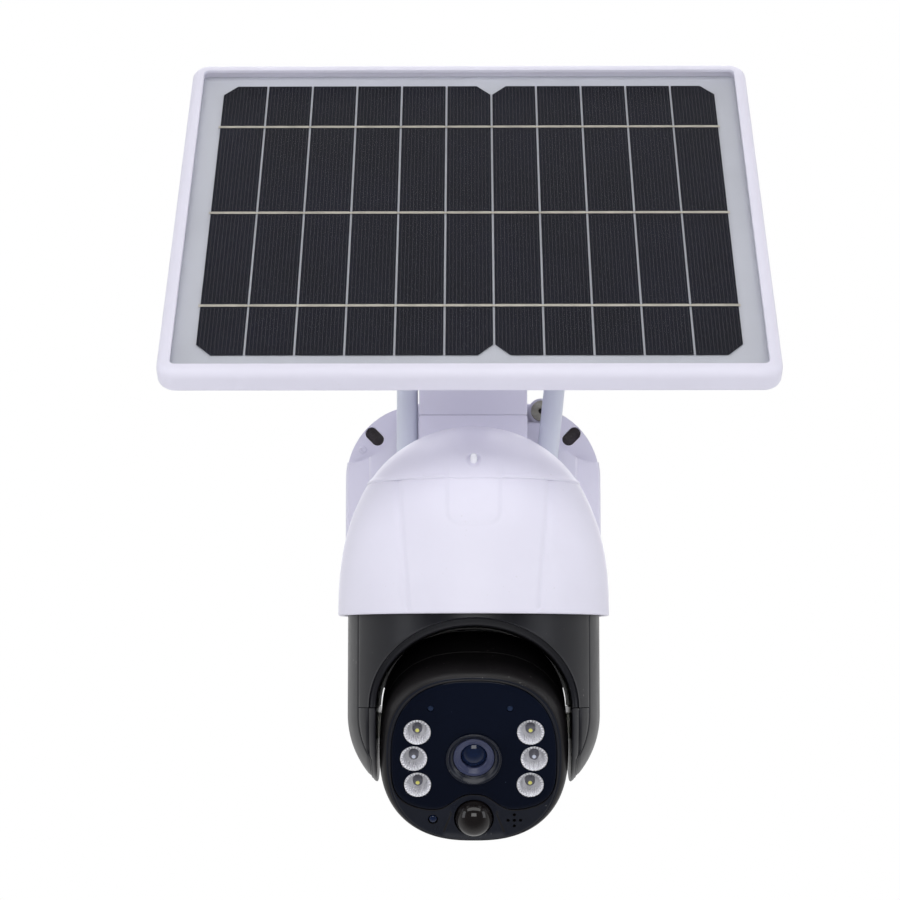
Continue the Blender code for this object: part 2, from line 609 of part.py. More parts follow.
def make_head_shells():
    bezel = head_body("head_bezel", 0, FACE_Y, BEZEL_BACK_Y, BLACK)
    rounded = bezel.modifiers.new("edge", "BEVEL")
    rounded.width = 1.6 * MM
    rounded.segments = 2
    rounded.limit_method = "ANGLE"
    rounded.angle_limit = radians(60)
    hollow = head_body("bezel_hollow", HEAD_WALL, FACE_Y + 4.2, BEZEL_BACK_Y + 5)
    recess = head_plate("window_recess", [window_outline(-GAP)], FACE_Y - 1, WINDOW_T + 1 + GAP)
    opening = head_plate("face_opening", [window_outline(2.2)], FACE_Y - 1, 8)
    cut(bezel, hollow, recess, opening)
    pir_hole = rod("pir_hole", (0, FACE_Y - 2, PIR_Z), 10, PIR_R + GAP, "Y", sides=24)
    eye_hole = rod("eye_hole", (EYE_X, FACE_Y - 2, EYE_Z), 10, 1.8, "Y", sides=12)
    cut(bezel, in_head(pir_hole), in_head(eye_hole))
    for k, (dx, dz) in enumerate([(0, 0), (1, 0), (-1, 0), (0, 1), (0, -1)]):
        at = (SPEAKER_X + dx * SPEAKER_STEP, FACE_Y - 2, SPEAKER_Z + dz * SPEAKER_STEP)
        cut(bezel, in_head(rod(f"sound_hole_{k}", at, 10, 0.55, "Y", sides=8)))
    smooth(bezel, 30)

    shell = head_body("head_shell", 0, BEZEL_BACK_Y + GAP, BALL_END_Y, BLACK)
    cut(shell, head_body("shell_hollow", HEAD_WALL, BEZEL_BACK_Y - 5, BALL_END_Y))
    for side, x in (("left", -40), ("right", 25)):
        cut(shell, in_head(rod(f"head_axle_hole_{side}", (x, 0, 0), 15, 5.3, "X", sides=20)))
    smooth(shell, 30)


def make_face():
    led_holes = [circle(x, z, LED_R + GAP, 16) for x, z in LED_SPOTS]
    dots = [circle(x, z, 1.2, 10) for x, z in SENSOR_SPOTS]
    holes = [circle(0, 0, LENS_HOLE_R, 28), *led_holes, *dots]
    head_plate("face_window", [window_outline(), *holes], FACE_Y + 0.1, WINDOW_T, GLOSS)

    ring = [(9.9, 0.2), (9.9, -4.0), (8.3, -4.0), (7.4, -1.4), (9.0, 0.2)]
    place(turned("lens_ring", ring, BLACK, steps=28), (0, FACE_Y + 0.3, 0), (pi / 2, 0, 0), TILT)
    tube = [(LENS_R, -4.4), (LENS_R, -17.0), (4.6, -17.0), (4.6, -6.2), (5.6, -4.4)]
    place(turned("lens_barrel", tube, BLACK, steps=24), (0, FACE_Y, 0), (pi / 2, 0, 0), TILT)
    dome = [(0, -3.0), (2.2, -3.2), (4.0, -3.9), (4.3, -5.4), (4.3, -9.0), (0, -9.0)]
    lens = turned("front_lens", dome, LENS, closed=False, steps=20)
    place(lens, (0, FACE_Y - 1.5, 0), (pi / 2, 0, 0), TILT)
    smooth(lens)

    for k, (x, z) in enumerate(LED_SPOTS, 1):
        low, r = -LED_DEEP, LED_R
        cup = [(0, low + 0.9), (2.0, low + 0.9), (r - 0.5, 0), (r, 0), (r, -0.8), (2.9, low), (0, low)]
        piece = turned(f"led_cup_{k}", cup, MIRROR, closed=False, steps=16)
        place(piece, (x, FACE_Y + 0.5, z), (pi / 2, 0, 0), TILT)

    board = [rounded_box(54, 38, 12, 4, 0, 5), circle(0, 0, LENS_R + GAP, 24)]
    head_plate("led_board", board, FACE_Y + 6.6, 1.4, BOARD)
    head_plate("image_board", [rounded_box(34, 30, 2, 2)], -9.5, 1.4, BOARD)

    ball = [(0, 6.2), (2.6, 5.7), (4.9, 4.3), (6.4, 2.2), (PIR_R, 0), (PIR_R, -2.6), (6.2, -2.6)]
    ball += [(6.2, 0), (5.6, 1.9), (4.2, 3.7), (2.2, 4.9), (0, 5.3)]
    dome = turned("pir_dome", ball, GLOSS, closed=False, steps=20)
    smooth(place(dome, (0, FACE_Y, PIR_Z), (pi / 2, 0, 0), TILT))
    in_head(rod("pir_sensor", (0, FACE_Y + 3.0, PIR_Z), 4.5, 4.0, "Y", STEEL, sides=20))
    in_head(rod("light_eye", (EYE_X, FACE_Y + 0.8, EYE_Z), 3.2, 1.5, "Y", LENS, sides=12))
    in_head(rod("speaker", (12.5, FACE_Y + 4.6, -20.2), 3.4, 5.0, "Y", STEEL, sides=20))


def make_tilt_drive():
    """The fixed wheel on the right-hand arm, and the motor in the head that climbs round it."""
    outline = gear_outline(TILT_MODULE, TILT_TEETH)
    turn = TILT_PINION_ANGLE + TILT_REST
    teeth = [(x * cos(turn) - y * sin(turn), x * sin(turn) + y * cos(turn)) for x, y in outline]
    gear = flat("tilt_gear", [teeth, circle(0, 0, 3, 16)], 20.8, 24.0, "YZ", NYLON)
    place(gear, (0, 0, TILT_Z), parent=PAN)
    axle = place(rod("gear_axle", (23.5, 0, TILT_Z), 18, 5.0, "X", sides=20), parent=PAN)
    bore = place(rod("gear_bore", (20, 0, TILT_Z), 30, 3.0, "X", sides=16), parent=PAN)
    cut(join(gear, axle), bore)
    left = rod("tilt_axle_left", (-41.5, 0, TILT_Z), 13.5, 5.0, "X", NYLON, sides=20)
    hollow = place(rod("left_bore", (-50, 0, TILT_Z), 30, 3.0, "X", sides=16), parent=PAN)
    cut(place(left, parent=PAN), hollow)

    y, z = TILT_CENTRES * cos(TILT_PINION_ANGLE), TILT_CENTRES * sin(TILT_PINION_ANGLE)
    motor = in_head(rod("tilt_motor", (-1, y, z), 19.5, 7.8, "X", STEEL, sides=24))
    join(motor, in_head(rod("tilt_shaft", (17, y, z), 6.8, 1.2, "X", sides=12)))
    pinion_axis = axis_empty("tilt_pinion_axis", (0, y, z), (0, 0, 0), TILT)
    phase = TILT_PINION_ANGLE + pi + pi / TILT_PINION_TEETH
    outline = gear_outline(TILT_MODULE, TILT_PINION_TEETH, phase=phase)
    pinion = flat("tilt_pinion", [outline, circle(0, 0, 1.5, 12)], 21.0, 23.8, "YZ", NYLON)
    place(pinion, parent=pinion_axis)


def panel_sheet(name, width, height, back, front, material, radius=1.0):
    outline = rounded_box(width, height, radius, 2, 0, PANEL_MID_Y)
    return place(flat(name, [outline], back, front, "XY", material), parent=LAMINATE)


def cell_outline(k):
    """One strip of a wafer. The first and last strips of a wafer have its cut-off corners."""
    pitch = CELL_W + CELL_GAP
    x = (k - (CELL_COUNT - 1) / 2) * pitch
    side = CHAMFERED_CELLS.get(k, 0)
    a, b, c = CELL_W / 2, CELL_L / 2, CELL_CHAMFER
    left = [(-a, b - c), (-a, c - b)] if side < 0 else [(-a, b), (-a, -b)]
    right = [(a, c - b), (a, b - c)] if side > 0 else [(a, -b), (a, b)]
    bottom = ([(-a + c, -b)] if side < 0 else []) + ([(a - c, -b)] if side > 0 else [])
    top = ([(a - c, b)] if side > 0 else []) + ([(-a + c, b)] if side < 0 else [])
    return [(x + px, PANEL_MID_Y + py) for px, py in left + bottom + right + top]


def make_panel():
    outer = rounded_box(PANEL_W, PANEL_H, PANEL_CORNER, 5, 0, PANEL_MID_Y)
    sight = rounded_box(PANEL_W - 2 * LIP, PANEL_H - 2 * LIP, 1.5, 2, 0, PANEL_MID_Y)
    back = PANEL_FRONT - PANEL_T
    frame = place(flat("panel_frame", [outer, sight], back, PANEL_FRONT, "XY", WHITE), parent=LAMINATE)
    rounded = frame.modifiers.new("edge", "BEVEL")
    rounded.width = 2.6 * MM
    rounded.segments = 3
    rounded.limit_method = "ANGLE"
    rounded.angle_limit = radians(60)
    rebate = panel_sheet("glass_rebate", PANEL_W - 7.4, PANEL_H - 7.4, back - 1, PANEL_FRONT - 1.3, None)
    smooth(cut(frame, rebate), 30)

    width, height = PANEL_W - 8, PANEL_H - 8
    panel_sheet("panel_glass", width, height, PANEL_FRONT - 3.4, PANEL_FRONT - 1.6, GLASS)
    string = flat("cell_string", [cell_outline(0)], PANEL_FRONT - 4.1, PANEL_FRONT - 3.8, "XY", CELLS)
    place(string, parent=LAMINATE)
    for offset in RIBBON_OFFSETS:
        y = PANEL_MID_Y + offset
        ribbon = block(
            f"ribbon_{offset}", (-101, y - 0.8, PANEL_FRONT - 4.0), (101, y + 0.8, PANEL_FRONT - 3.7)
        )
        join(string, place(ribbon, parent=LAMINATE))
    for k in range(1, CELL_COUNT):
        strip = flat(f"strip_{k}", [cell_outline(k)], PANEL_FRONT - 4.1, PANEL_FRONT - 3.8)
        join(string, place(strip, parent=LAMINATE))
    panel_sheet("back_sheet", width, height, PANEL_FRONT - 5.1, PANEL_FRONT - 4.4, SHEET)

    cover = panel_sheet("panel_back", width, height, back + 0.2, PANEL_FRONT - 5.4, WHITE)
    hollow = panel_sheet("back_hollow", width - 6, height - 6, back + 2.2, PANEL_FRONT - 3, None)
    pan = flat("back_pan", [rounded_box(150, 112, 12, 4, 0, PANEL_MID_Y)], 11.2, back + 3)
    room = flat("pan_room", [rounded_box(146, 108, 10, 4, 0, PANEL_MID_Y)], 13.2, back + 5)
    for shape in (pan, room):
        place(shape, parent=LAMINATE)
    smooth(cut(join(cover, pan), hollow, room), 30)

    box = block("junction_box", (-19, 38, 3.4), (19, 66, 10.9), BLACK)
    lid = block("box_lid", (-16, 41, 2.4), (16, 63, 3.9))
    join(place(box, parent=LAMINATE), place(lid, parent=LAMINATE))


def make_panel_hinge():
    """The arm's tongue stands between the two ears behind the panel, on one bolt with a knob."""
    barrel = [(HINGE_Y + x, HINGE_Z + z) for x, z in arc(0, 0, BARREL_R, 38, 232, 14)]
    tongue = [*barrel, (NECK_FRONT, 58), (-12.6, 62)]
    arm = flat("panel_arm", [tongue], -TONGUE_HALF_W, TONGUE_HALF_W, "YZ", WHITE)
    foot = [(NECK_FRONT, NECK_TOP + GAP), (NECK_FRONT, 60), (-12.6, 64), (-12.6, NECK_TOP + GAP)]
    base = flat("arm_base", [foot], -NECK_HALF_W, NECK_HALF_W, "YZ")
    bore = rod("arm_bore", (-30, HINGE_Y, HINGE_Z), 60, 2.8, "X", sides=16)
    smooth(cut(join(arm, base), bore), 30)

    outline = [*arc(0, 0, EAR_R, -180, 0, 10), (12, 10.5), (-12, 10.5)]
    ears = block("panel_ears", (-27, -22, 9.4), (27, 22, 10.9), WHITE)
    place(ears, parent=PANEL)
    for name, sx in (("left", -1), ("right", 1)):
        near, far = sorted((sx * (TONGUE_HALF_W + 0.5), sx * (TONGUE_HALF_W + 0.5 + EAR_W)))
        join(ears, place(flat(f"ear_{name}", [outline], near, far, "YZ"), parent=PANEL))
    smooth(cut(ears, place(rod("ear_bore", (-30, 0, 0), 60, 2.8, "X", sides=16), parent=PANEL)), 30)

    bolt = rod("hinge_bolt", (-19.5, 0, 0), 45.0, 2.5, "X", STEEL, sides=16)
    head = place(rod("bolt_head", (-22.3, 0, 0), 3.4, 4.6, "X", sides=6), parent=PANEL)
    join(place(bolt, parent=PANEL), head)
    lobes = []
    for k in range(36):
        a = 2 * pi * k / 36
        reach = 7.2 + 0.9 * cos(6 * a)
        lobes.append((reach * cos(a), reach * sin(a)))
    knob = flat("hinge_knob", [lobes, circle(0, 0, 2.8, 16)], 18.9, 25.0, "YZ", BLACK)
    smooth(place(knob, parent=PANEL), 40)


def make_antenna(side, lean):
    base_low = SADDLE_TOP + GAP
    profile = [(0, base_low + 3.7), (4.2, base_low + 3.7), (4.5, base_low + 2.0), (4.5, base_low)]
    profile += [(2.0, base_low), (2.0, 4.6), (0, 4.6)]
    base = turned(f"antenna_base_{side}", profile, GREY, closed=False, steps=20)
    where = (ANTENNA_XS[side], ANTENNA_Y, 0)
    outline = [(-3.0, base_low + 3), (3.0, base_low + 3), *arc(0, ANTENNA_PIVOT_Z, 3.4, -20, 200, 10)]
    tongue = place(flat(f"tongue_{side}", [outline], -1.5, 1.5, "XZ"), where)
    eye = rod(f"tongue_eye_{side}", (0, -5, ANTENNA_PIVOT_Z), 10, 1.3, "Y", sides=12)
    smooth(cut(join(place(base, where), tongue), place(eye, where)), 30)

    r, top = ANTENNA_R, ANTENNA_L
    tip = [(r * 0.9 * cos(a), top - 3 + 3 * sin(a)) for a in [radians(d) for d in (90, 60, 30, 0)]]
    profile = [(0, top), *tip[1:], (r, 18), (r, -0.6), (3.2, -2.6), (0, -3.4)]
    axis = axis_empty(f"antenna_axis_{side}", (ANTENNA_XS[side], ANTENNA_Y, ANTENNA_PIVOT_Z), (0, lean, 0))
    rod_piece = turned(f"antenna_rod_{side}", profile, GREY, closed=False, steps=20)
    slit = block(f"rod_slit_{side}", (-8, -1.85, -8), (8, 1.85, 4.6))
    pin = rod(f"rod_pin_{side}", (0, -3, 0), 6, 1.0, "Y", sides=12)
    for piece in (rod_piece, slit, pin):
        place(piece, parent=axis)
    smooth(join(cut(rod_piece, slit), pin), 30)


HEAD_TUNNEL = tunnel()
YOKE_CAVITY = cut(
    bell(-YOKE_WALL, "cavity_bell"),
    tunnel(YOKE_WALL, "thick_tunnel"),
)


def main():
    skirt = make_hood()
    make_bracket()
    make_chassis(skirt)
    make_yoke()
    make_pan_gear()
    make_head_shells()
    make_face()
    make_tilt_drive()
    make_panel()
    make_panel_hinge()
    make_antenna("left", 0.0)
    make_antenna("right", ANTENNA_LEAN)


main()
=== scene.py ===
"""Looks for the solar security camera: surfaces worked out with numpy, and node materials.

Lengths in the formulas are millimetres in the model's own frame: +X right, +Y into the wall, +Z up.
"""

import json
from math import radians

import bmesh
import bpy
import numpy as np
from bpy.props import FloatProperty, FloatVectorProperty, PointerProperty
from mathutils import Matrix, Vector

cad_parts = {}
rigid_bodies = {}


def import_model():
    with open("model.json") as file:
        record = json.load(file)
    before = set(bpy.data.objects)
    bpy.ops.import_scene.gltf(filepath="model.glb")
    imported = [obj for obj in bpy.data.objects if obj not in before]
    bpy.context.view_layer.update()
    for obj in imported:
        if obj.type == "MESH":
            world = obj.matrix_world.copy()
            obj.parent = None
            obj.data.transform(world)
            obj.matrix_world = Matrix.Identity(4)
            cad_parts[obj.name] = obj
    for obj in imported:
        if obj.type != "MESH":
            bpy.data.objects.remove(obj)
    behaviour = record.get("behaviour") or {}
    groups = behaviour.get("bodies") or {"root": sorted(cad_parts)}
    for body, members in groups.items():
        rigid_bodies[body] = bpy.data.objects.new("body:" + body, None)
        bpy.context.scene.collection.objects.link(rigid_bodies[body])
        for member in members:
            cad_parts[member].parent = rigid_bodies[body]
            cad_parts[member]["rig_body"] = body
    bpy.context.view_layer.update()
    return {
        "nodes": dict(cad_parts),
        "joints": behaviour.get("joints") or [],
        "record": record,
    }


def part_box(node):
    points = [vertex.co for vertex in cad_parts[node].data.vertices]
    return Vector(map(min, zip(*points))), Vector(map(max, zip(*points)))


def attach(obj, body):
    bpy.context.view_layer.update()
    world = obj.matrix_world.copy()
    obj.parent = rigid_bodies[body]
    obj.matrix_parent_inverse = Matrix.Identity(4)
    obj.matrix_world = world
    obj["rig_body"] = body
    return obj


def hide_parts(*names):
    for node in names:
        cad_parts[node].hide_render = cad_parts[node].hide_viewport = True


bl_info = {
    "name": "Solar camera looks",
    "version": (1, 0, 0),
    "blender": (4, 5, 0),
    "location": "View3D > Sidebar > Solar camera",
    "description": "Builds the surfaces, materials and studio of a solar security camera",
    "category": "Add Mesh",
}

MM = 0.001
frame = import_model()
JOINTS = {joint["name"]: joint for joint in frame["joints"]}
PAN = np.array(JOINTS["pan"]["pos_m"]) / MM
TILT = np.array(JOINTS["head_tilt"]["pos_m"]) / MM
HINGE = np.array(JOINTS["panel_tilt"]["pos_m"]) / MM


def length(name, description, default_mm):
    """A length property, shown in the scene's units."""
    return FloatProperty(name=name, description=description, default=default_mm * MM, unit="LENGTH")


def angle(name, description, default_deg):
    return FloatProperty(name=name, description=description, default=radians(default_deg), subtype="ANGLE")


def paint(name, description, rgb):
    return FloatVectorProperty(name=name, description=description, default=rgb, subtype="COLOR", min=0, max=1)


class HoodSizes(bpy.types.PropertyGroup):
    rim_z: length("Rim height", "Height of the hood's lower rim", -39.1)
    seam_z: length("Seam height", "Height of the seam between the skirt and the cap", 10.5)
    top_z: length("Top height", "Height of the cap's top", 33.2)
    rim_radius: length("Rim radius", "Radius of the skirt at its rim", 51.4)
    seam_radius: length("Seam radius", "Radius at the seam", 40.6)
    shield_width: length("Shield width", "Width of the soft shield in front", 21.4)
    shield_low: length("Shield bottom", "Height of the shield's lower end", -7.6)
    shield_proud: length("Shield relief", "How far the shield stands out", 0.6)
    crease_depth: length("Crease depth", "Depth of the two soft creases in the skirt", 0.7)


class YokeSizes(bpy.types.PropertyGroup):
    radius: length("Radius", "Radius of the yoke's straight side", 47.7)
    foot_radius: length("Foot radius", "Radius where the arms end", 36.0)
    top_z: length("Top", "Height of the yoke's top, inside the hood", -34.0)
    turn_z: length("Turn", "Height where the side starts to curve in", -76.0)
    low_z: length("Low end", "Height of the arms' lower ends", -102.1)
    seam_z: length("Foot seam", "Height of the seam between arm and foot", -73.3)
    tunnel_half: length("Tunnel half width", "Half the width of the space for the head", 36.0)
    tunnel_top: length("Tunnel top", "Height of the arch's crown", -43.5)
    cover_half: length("Cover half width", "Half the width of the side covers", 21.2)
    lip: length("Lip", "Width of the bevelled lip round the tunnel", 2.6)


class HeadSizes(bpy.types.PropertyGroup):
    half: length("Half width", "Half the width of the head", 35.0)
    face_half: length("Face half width", "Half the width of the face, which the head widens from", 31.5)
    face_top: length("Face top", "Height of the face's edge above the lens", 32.1)
    face_low: length("Face bottom", "Depth of the face's edge below the lens", 33.5)
    face_y: length("Face", "Distance of the face from the tilt axis", -28.0)
    joint_y: length("Shell joint", "Where the bezel meets the rear shell", -10.0)
    ball_y: length("Ball start", "Where the rear shell starts to close", 4.0)
    back_y: length("Back", "Rear end of the head", 33.0)
    window_half: length("Window half width", "Half the width of the face window", 30.4)
    window_top: length("Window top", "Height of the window above the lens", 31.3)
    window_low: length("Window bottom", "Depth of the window below the lens", 21.4)
    down: angle("Rest tilt", "How far the face looks down at rest", 24.5)


class PanelSizes(bpy.types.PropertyGroup):
    width: length("Width", "Width of the panel's frame", 225.0)
    height: length("Height", "Length of the frame up the slope", 180.0)
    thickness: length("Thickness", "Thickness of the frame", 10.0)
    corner: length("Corner", "Radius of the frame's corners", 7.0)
    lip: length("Lip", "Width of the frame seen round the glass", 5.0)
    cell_width: length("Strip width", "Width of one strip of cell", 17.3)
    cell_gap: length("Strip gap", "Gap between the strips", 0.8)
    cell_length: length("Strip length", "Length of a strip", 156.0)
    slope: angle("Slope", "The panel's slope at rest", 51.7)


class Colours(bpy.types.PropertyGroup):
    white: paint("White plastic", "Colour of the hood, bracket and panel frame", (0.77, 0.755, 0.865))
    charcoal: paint("Charcoal", "Colour of the yoke", (0.0085, 0.0088, 0.0125))
    head_black: paint("Head black", "Colour of the head's shells", (0.0105, 0.0095, 0.0105))
    acrylic: paint("Acrylic", "Colour of the face window", (0.0025, 0.0040, 0.0100))
    cell: paint("Cell", "Colour of the solar cells", (0.0034, 0.0033, 0.0095))
    back_sheet: paint("Back sheet", "Colour of the sheet behind the cells", (0.60, 0.615, 0.68))
    antenna: paint("Antenna", "Colour of the antennas", (0.66, 0.69, 0.78))


# ---- Shader maths


class Signal:
    """A shader socket whose operators add Math nodes."""

    def __init__(self, finish, socket):
        self.finish = finish
        self.socket = socket

    def maths(self, operation, *values):
        return self.finish.add("Math", {"operation": operation}, dict(enumerate(values)))

    def __add__(self, other):
        return self.maths("ADD", self, other)

    def __sub__(self, other):
        return self.maths("SUBTRACT", self, other)

    def __rsub__(self, other):
        return self.maths("SUBTRACT", other, self)

    def __mul__(self, other):
        return self.maths("MULTIPLY", self, other)

    def __truediv__(self, other):
        return self.maths("DIVIDE", self, other)

    def __pow__(self, other):
        return self.maths("POWER", self, other)

    def __lt__(self, other):
        return self.maths("LESS_THAN", self, other)

    def __gt__(self, other):
        return self.maths("GREATER_THAN", self, other)

    def __abs__(self):
        return self.maths("ABSOLUTE", self)

    __radd__ = __add__
    __rmul__ = __mul__

    def step(self, low, high):
        """0 below low, 1 above high, and smooth between."""
        ramp = {"interpolation_type": "SMOOTHSTEP"}
        return self.finish.add("MapRange", ramp, {"Value": self, "From Min": low, "From Max": high})


class Finish:
    """A Principled material. One method adds any other node."""

    def __init__(self, name, **sockets):
        self.material = bpy.data.materials.new(name)
        self.material.use_nodes = True
        self.tree = self.material.node_tree
        self.shader = self.tree.nodes["Principled BSDF"]
        self.feed(self.shader, {key.replace("_", " "): value for key, value in sockets.items()})

    def feed(self, node, sockets):
        for key, value in sockets.items():
            if isinstance(value, Signal):
                self.tree.links.new(value.socket, node.inputs[key])
            elif isinstance(value, tuple) and len(value) == 3 and node.inputs[key].type == "RGBA":
                node.inputs[key].default_value = (*value, 1.0)
            else:
                node.inputs[key].default_value = value

    def add(self, kind, settings=None, sockets=None, out=0):
        """A node of a kind, with its settings first and then its sockets' values or links."""
        node = self.tree.nodes.new("ShaderNode" + kind)
        for name, value in (settings or {}).items():
            if name == "stops":
                self.set_stops(node.color_ramp, value)
            else:
                setattr(node, name, value)
        self.feed(node, sockets or {})
        return Signal(self, node.outputs[out])

    def set_stops(self, ramp, stops):
        while len(ramp.elements) < len(stops):
            ramp.elements.new(0.5)
        for element, (where, rgb) in zip(ramp.elements, stops):
            element.position = where
            element.color = (*rgb, 1.0)

    def where(self, scale=(1, 1, 1), turn=(0, 0, 0), move=(0, 0, 0)):
        """The surface point in the object's frame, scaled and turned."""
        place = self.add("TexCoord", out="Object")
        return self.add("Mapping", {}, {"Vector": place, "Location": move, "Rotation": turn, "Scale": scale})

    def noise(self, scale, detail=2.0, roughness=0.5, vector=None):
        vector = self.where() if vector is None else vector
        sockets = {"Vector": vector, "Scale": scale, "Detail": detail, "Roughness": roughness}
        return self.add("TexNoise", {}, sockets, "Fac")

    def mix(self, factor, one, other):
        """One colour where factor is 0 and the other where it is 1."""
        return self.add("Mix", {"data_type": "RGBA"}, {0: factor, 6: one, 7: other}, 2)

    def split(self, vector):
        node = self.add("SeparateXYZ", {}, {"Vector": vector}).socket.node
        return [Signal(self, socket) for socket in node.outputs]

    def bump(self, height, distance_mm, strength=1.0):
        sockets = {"Height": height, "Distance": distance_mm * MM, "Strength": strength}
        self.feed(self.shader, {"Normal": self.add("Bump", {}, sockets)})

    def use(self, **sockets):
        self.feed(self.shader, {key.replace("_", " "): value for key, value in sockets.items()})


def shade(rgb, factor):
    return tuple(min(1.0, channel * factor) for channel in rgb)


def moulded(name, rgb, roughness, grain=0.0, spread=0.05, **sockets):
    """Moulded plastic: a fine spark grain, faint flow marks, handling smudges and a little dust."""
    finish = Finish(name, **sockets)
    cloud = finish.noise(28.0, 4.0, 0.6)
    fine = finish.noise(260.0, 3.0, 0.55)
    smudge = finish.noise(75.0, 3.0, 0.65, finish.where((1.0, 1.0, 0.4), (0.3, 0.5, 0.1)))
    tint = finish.mix(cloud.step(0.35, 0.7), shade(rgb, 1 - spread), shade(rgb, 1 + spread))
    dust = (finish.noise(900.0, 1.0) > 0.745) * finish.noise(60.0).step(0.5, 0.7)
    finish.use(Base_Color=finish.mix(dust * 0.25, tint, (0.5, 0.49, 0.47)))
    finish.use(Roughness=roughness + (smudge - 0.5) * 0.22 + (fine - 0.5) * 0.08)
    spark = finish.noise(2600.0, 2.0, 0.6)
    finish.bump(spark * grain + fine * 0.35 + cloud * 0.3, 0.05, 0.35)
    return finish.material


def white_plastic(name, colours):
    return moulded(name, tuple(colours.white), 0.40, 0.25, 0.012, Specular_IOR_Level=0.35)


def acrylic(name, rgb, roughness=0.05, gloss=0.0):
    """Polished dark acrylic, with faint wiping marks and single specks of dust."""
    finish = Finish(name, Coat_Weight=gloss, Coat_Roughness=0.03, Specular_IOR_Level=0.12)
    specks = finish.add("TexVoronoi", {}, {"Vector": finish.where(), "Scale": 260.0}, "Distance")
    dust = (specks < 0.045) * finish.noise(120.0).step(0.45, 0.6)
    tint = finish.mix(finish.noise(22.0, 3.0).step(0.3, 0.7), rgb, shade(rgb, 1.35))
    finish.use(Base_Color=finish.mix(dust * 0.5, tint, (0.10, 0.13, 0.20)))
    wipe = finish.noise(40.0, 4.0, 0.6, finish.where((1.0, 1.0, 3.0), (0.0, 0.5, 0.0)))
    finish.use(Roughness=roughness + wipe * 0.05 + dust * 0.3)
    finish.bump(finish.noise(35.0, 1.0), 0.02, 0.25)
    return finish.material


def metal(name, rgb, roughness, stretch=(1.0, 1.0, 40.0), plated=1.0):
    """Brushed or plated metal, with a stretched grain and dull patches."""
    finish = Finish(name)
    brushed = finish.noise(900.0, 3.0, 0.6, finish.where(stretch))
    patches = finish.noise(160.0, 3.0)
    finish.use(Base_Color=finish.mix(patches.step(0.4, 0.7), rgb, shade(rgb, 0.82)))
    finish.use(Roughness=roughness + brushed * 0.12 + patches * 0.08, Metallic=plated)
    finish.bump(brushed, 0.02, 0.3)
    return finish.material


def rubber(name, rgb):
    finish = Finish(name, Specular_IOR_Level=0.12)
    chalk = finish.noise(420.0, 4.0, 0.7)
    finish.use(Base_Color=finish.mix(chalk.step(0.4, 0.8), rgb, shade(rgb, 1.6)))
    finish.use(Roughness=0.7 + chalk * 0.2)
    finish.bump(chalk, 0.08, 0.5)
    return finish.material


def circuit_board(name):
    """Green solder mask with lighter tracks on a square grid."""
    finish = Finish(name)
    x = finish.split(finish.where((900.0, 900.0, 900.0)))[0]
    lanes = abs(x.maths("PINGPONG", x, 1.0) - 0.5) < 0.12
    gates = finish.noise(300.0, 1.0) > 0.5
    finish.use(Base_Color=finish.mix(lanes * gates, (0.012, 0.10, 0.045), (0.03, 0.22, 0.09)))
    finish.use(Roughness=0.35 + finish.noise(500.0) * 0.2)
    finish.bump(lanes * gates, 0.03, 0.6)
    return finish.material


def wrapped_cell(name):
    """A battery's shrink sleeve: blue, with the wrinkles that shrinking leaves."""
    finish = Finish(name, Coat_Weight=0.4)
    folds = finish.noise(240.0, 3.0, 0.6, finish.where((0.2, 1.0, 1.0)))
    finish.use(Base_Color=finish.mix(folds.step(0.3, 0.7), (0.02, 0.09, 0.36), (0.03, 0.14, 0.50)))
    finish.use(Roughness=0.25 + folds * 0.2)
    finish.bump(folds, 0.1, 0.4)
    return finish.material


def solar_cell(name, rgb):
    """Silicon with its fine printed fingers, faint ingot rings and a grey sheen where it varies."""
    finish = Finish(name, Coat_Weight=0.08, Coat_Roughness=0.06, Specular_IOR_Level=0.08)
    place = finish.where((1 / (1.392 * MM), 1.0, 1.0))
    x = finish.split(place)[0]
    ridge = abs(x.maths("FRACT", x + 200.0) - 0.5)
    broken = finish.noise(1.0, 2.0, 0.5, finish.where((500.0, 160.0, 160.0)))
    finger = (1 - ridge.step(0.0, 0.11)) * (0.35 + broken * 0.65)
    cloud = finish.noise(30.0, 4.0)
    silicon = finish.mix(cloud.step(0.3, 0.75), shade(rgb, 0.85), shade(rgb, 1.3))
    finish.use(Base_Color=finish.mix(finger, silicon, (0.065, 0.062, 0.075)))
    finish.use(Roughness=0.32 + finger * 0.1 + finish.noise(400.0) * 0.08)
    finish.bump(finger, 0.02, 0.5)
    return finish.material


def back_sheet(name, rgb):
    """Laminate behind the cells: a fine weave pressed into a pale sheet."""
    finish = Finish(name, Coat_Weight=0.5, Coat_Roughness=0.1)
    x, y = finish.split(finish.where((1400.0, 1400.0, 1400.0)))[:2]
    weave = x.maths("SINE", x * 3.1416) * y.maths("SINE", y * 3.1416) * 0.5 + 0.5
    cloud = finish.noise(18.0, 4.0)
    finish.use(Base_Color=finish.mix(cloud.step(0.3, 0.7), shade(rgb, 0.94), shade(rgb, 1.04)))
    finish.use(Roughness=0.35 + weave * 0.08)
    finish.bump(weave, 0.02, 0.3)
    return finish.material


def clear_sheet(name, alpha=0.035):
    """The panel's clear cover: almost invisible, with a polished face and a few dry water marks."""
    finish = Finish(name, Base_Color=(0.16, 0.17, 0.18), Specular_IOR_Level=0.5)
    marks = finish.noise(26.0, 5.0, 0.7)
    finish.use(Roughness=0.05 + marks.step(0.5, 0.8) * 0.12)
    finish.use(Alpha=alpha + marks.step(0.55, 0.8) * 0.01)
    return finish.material


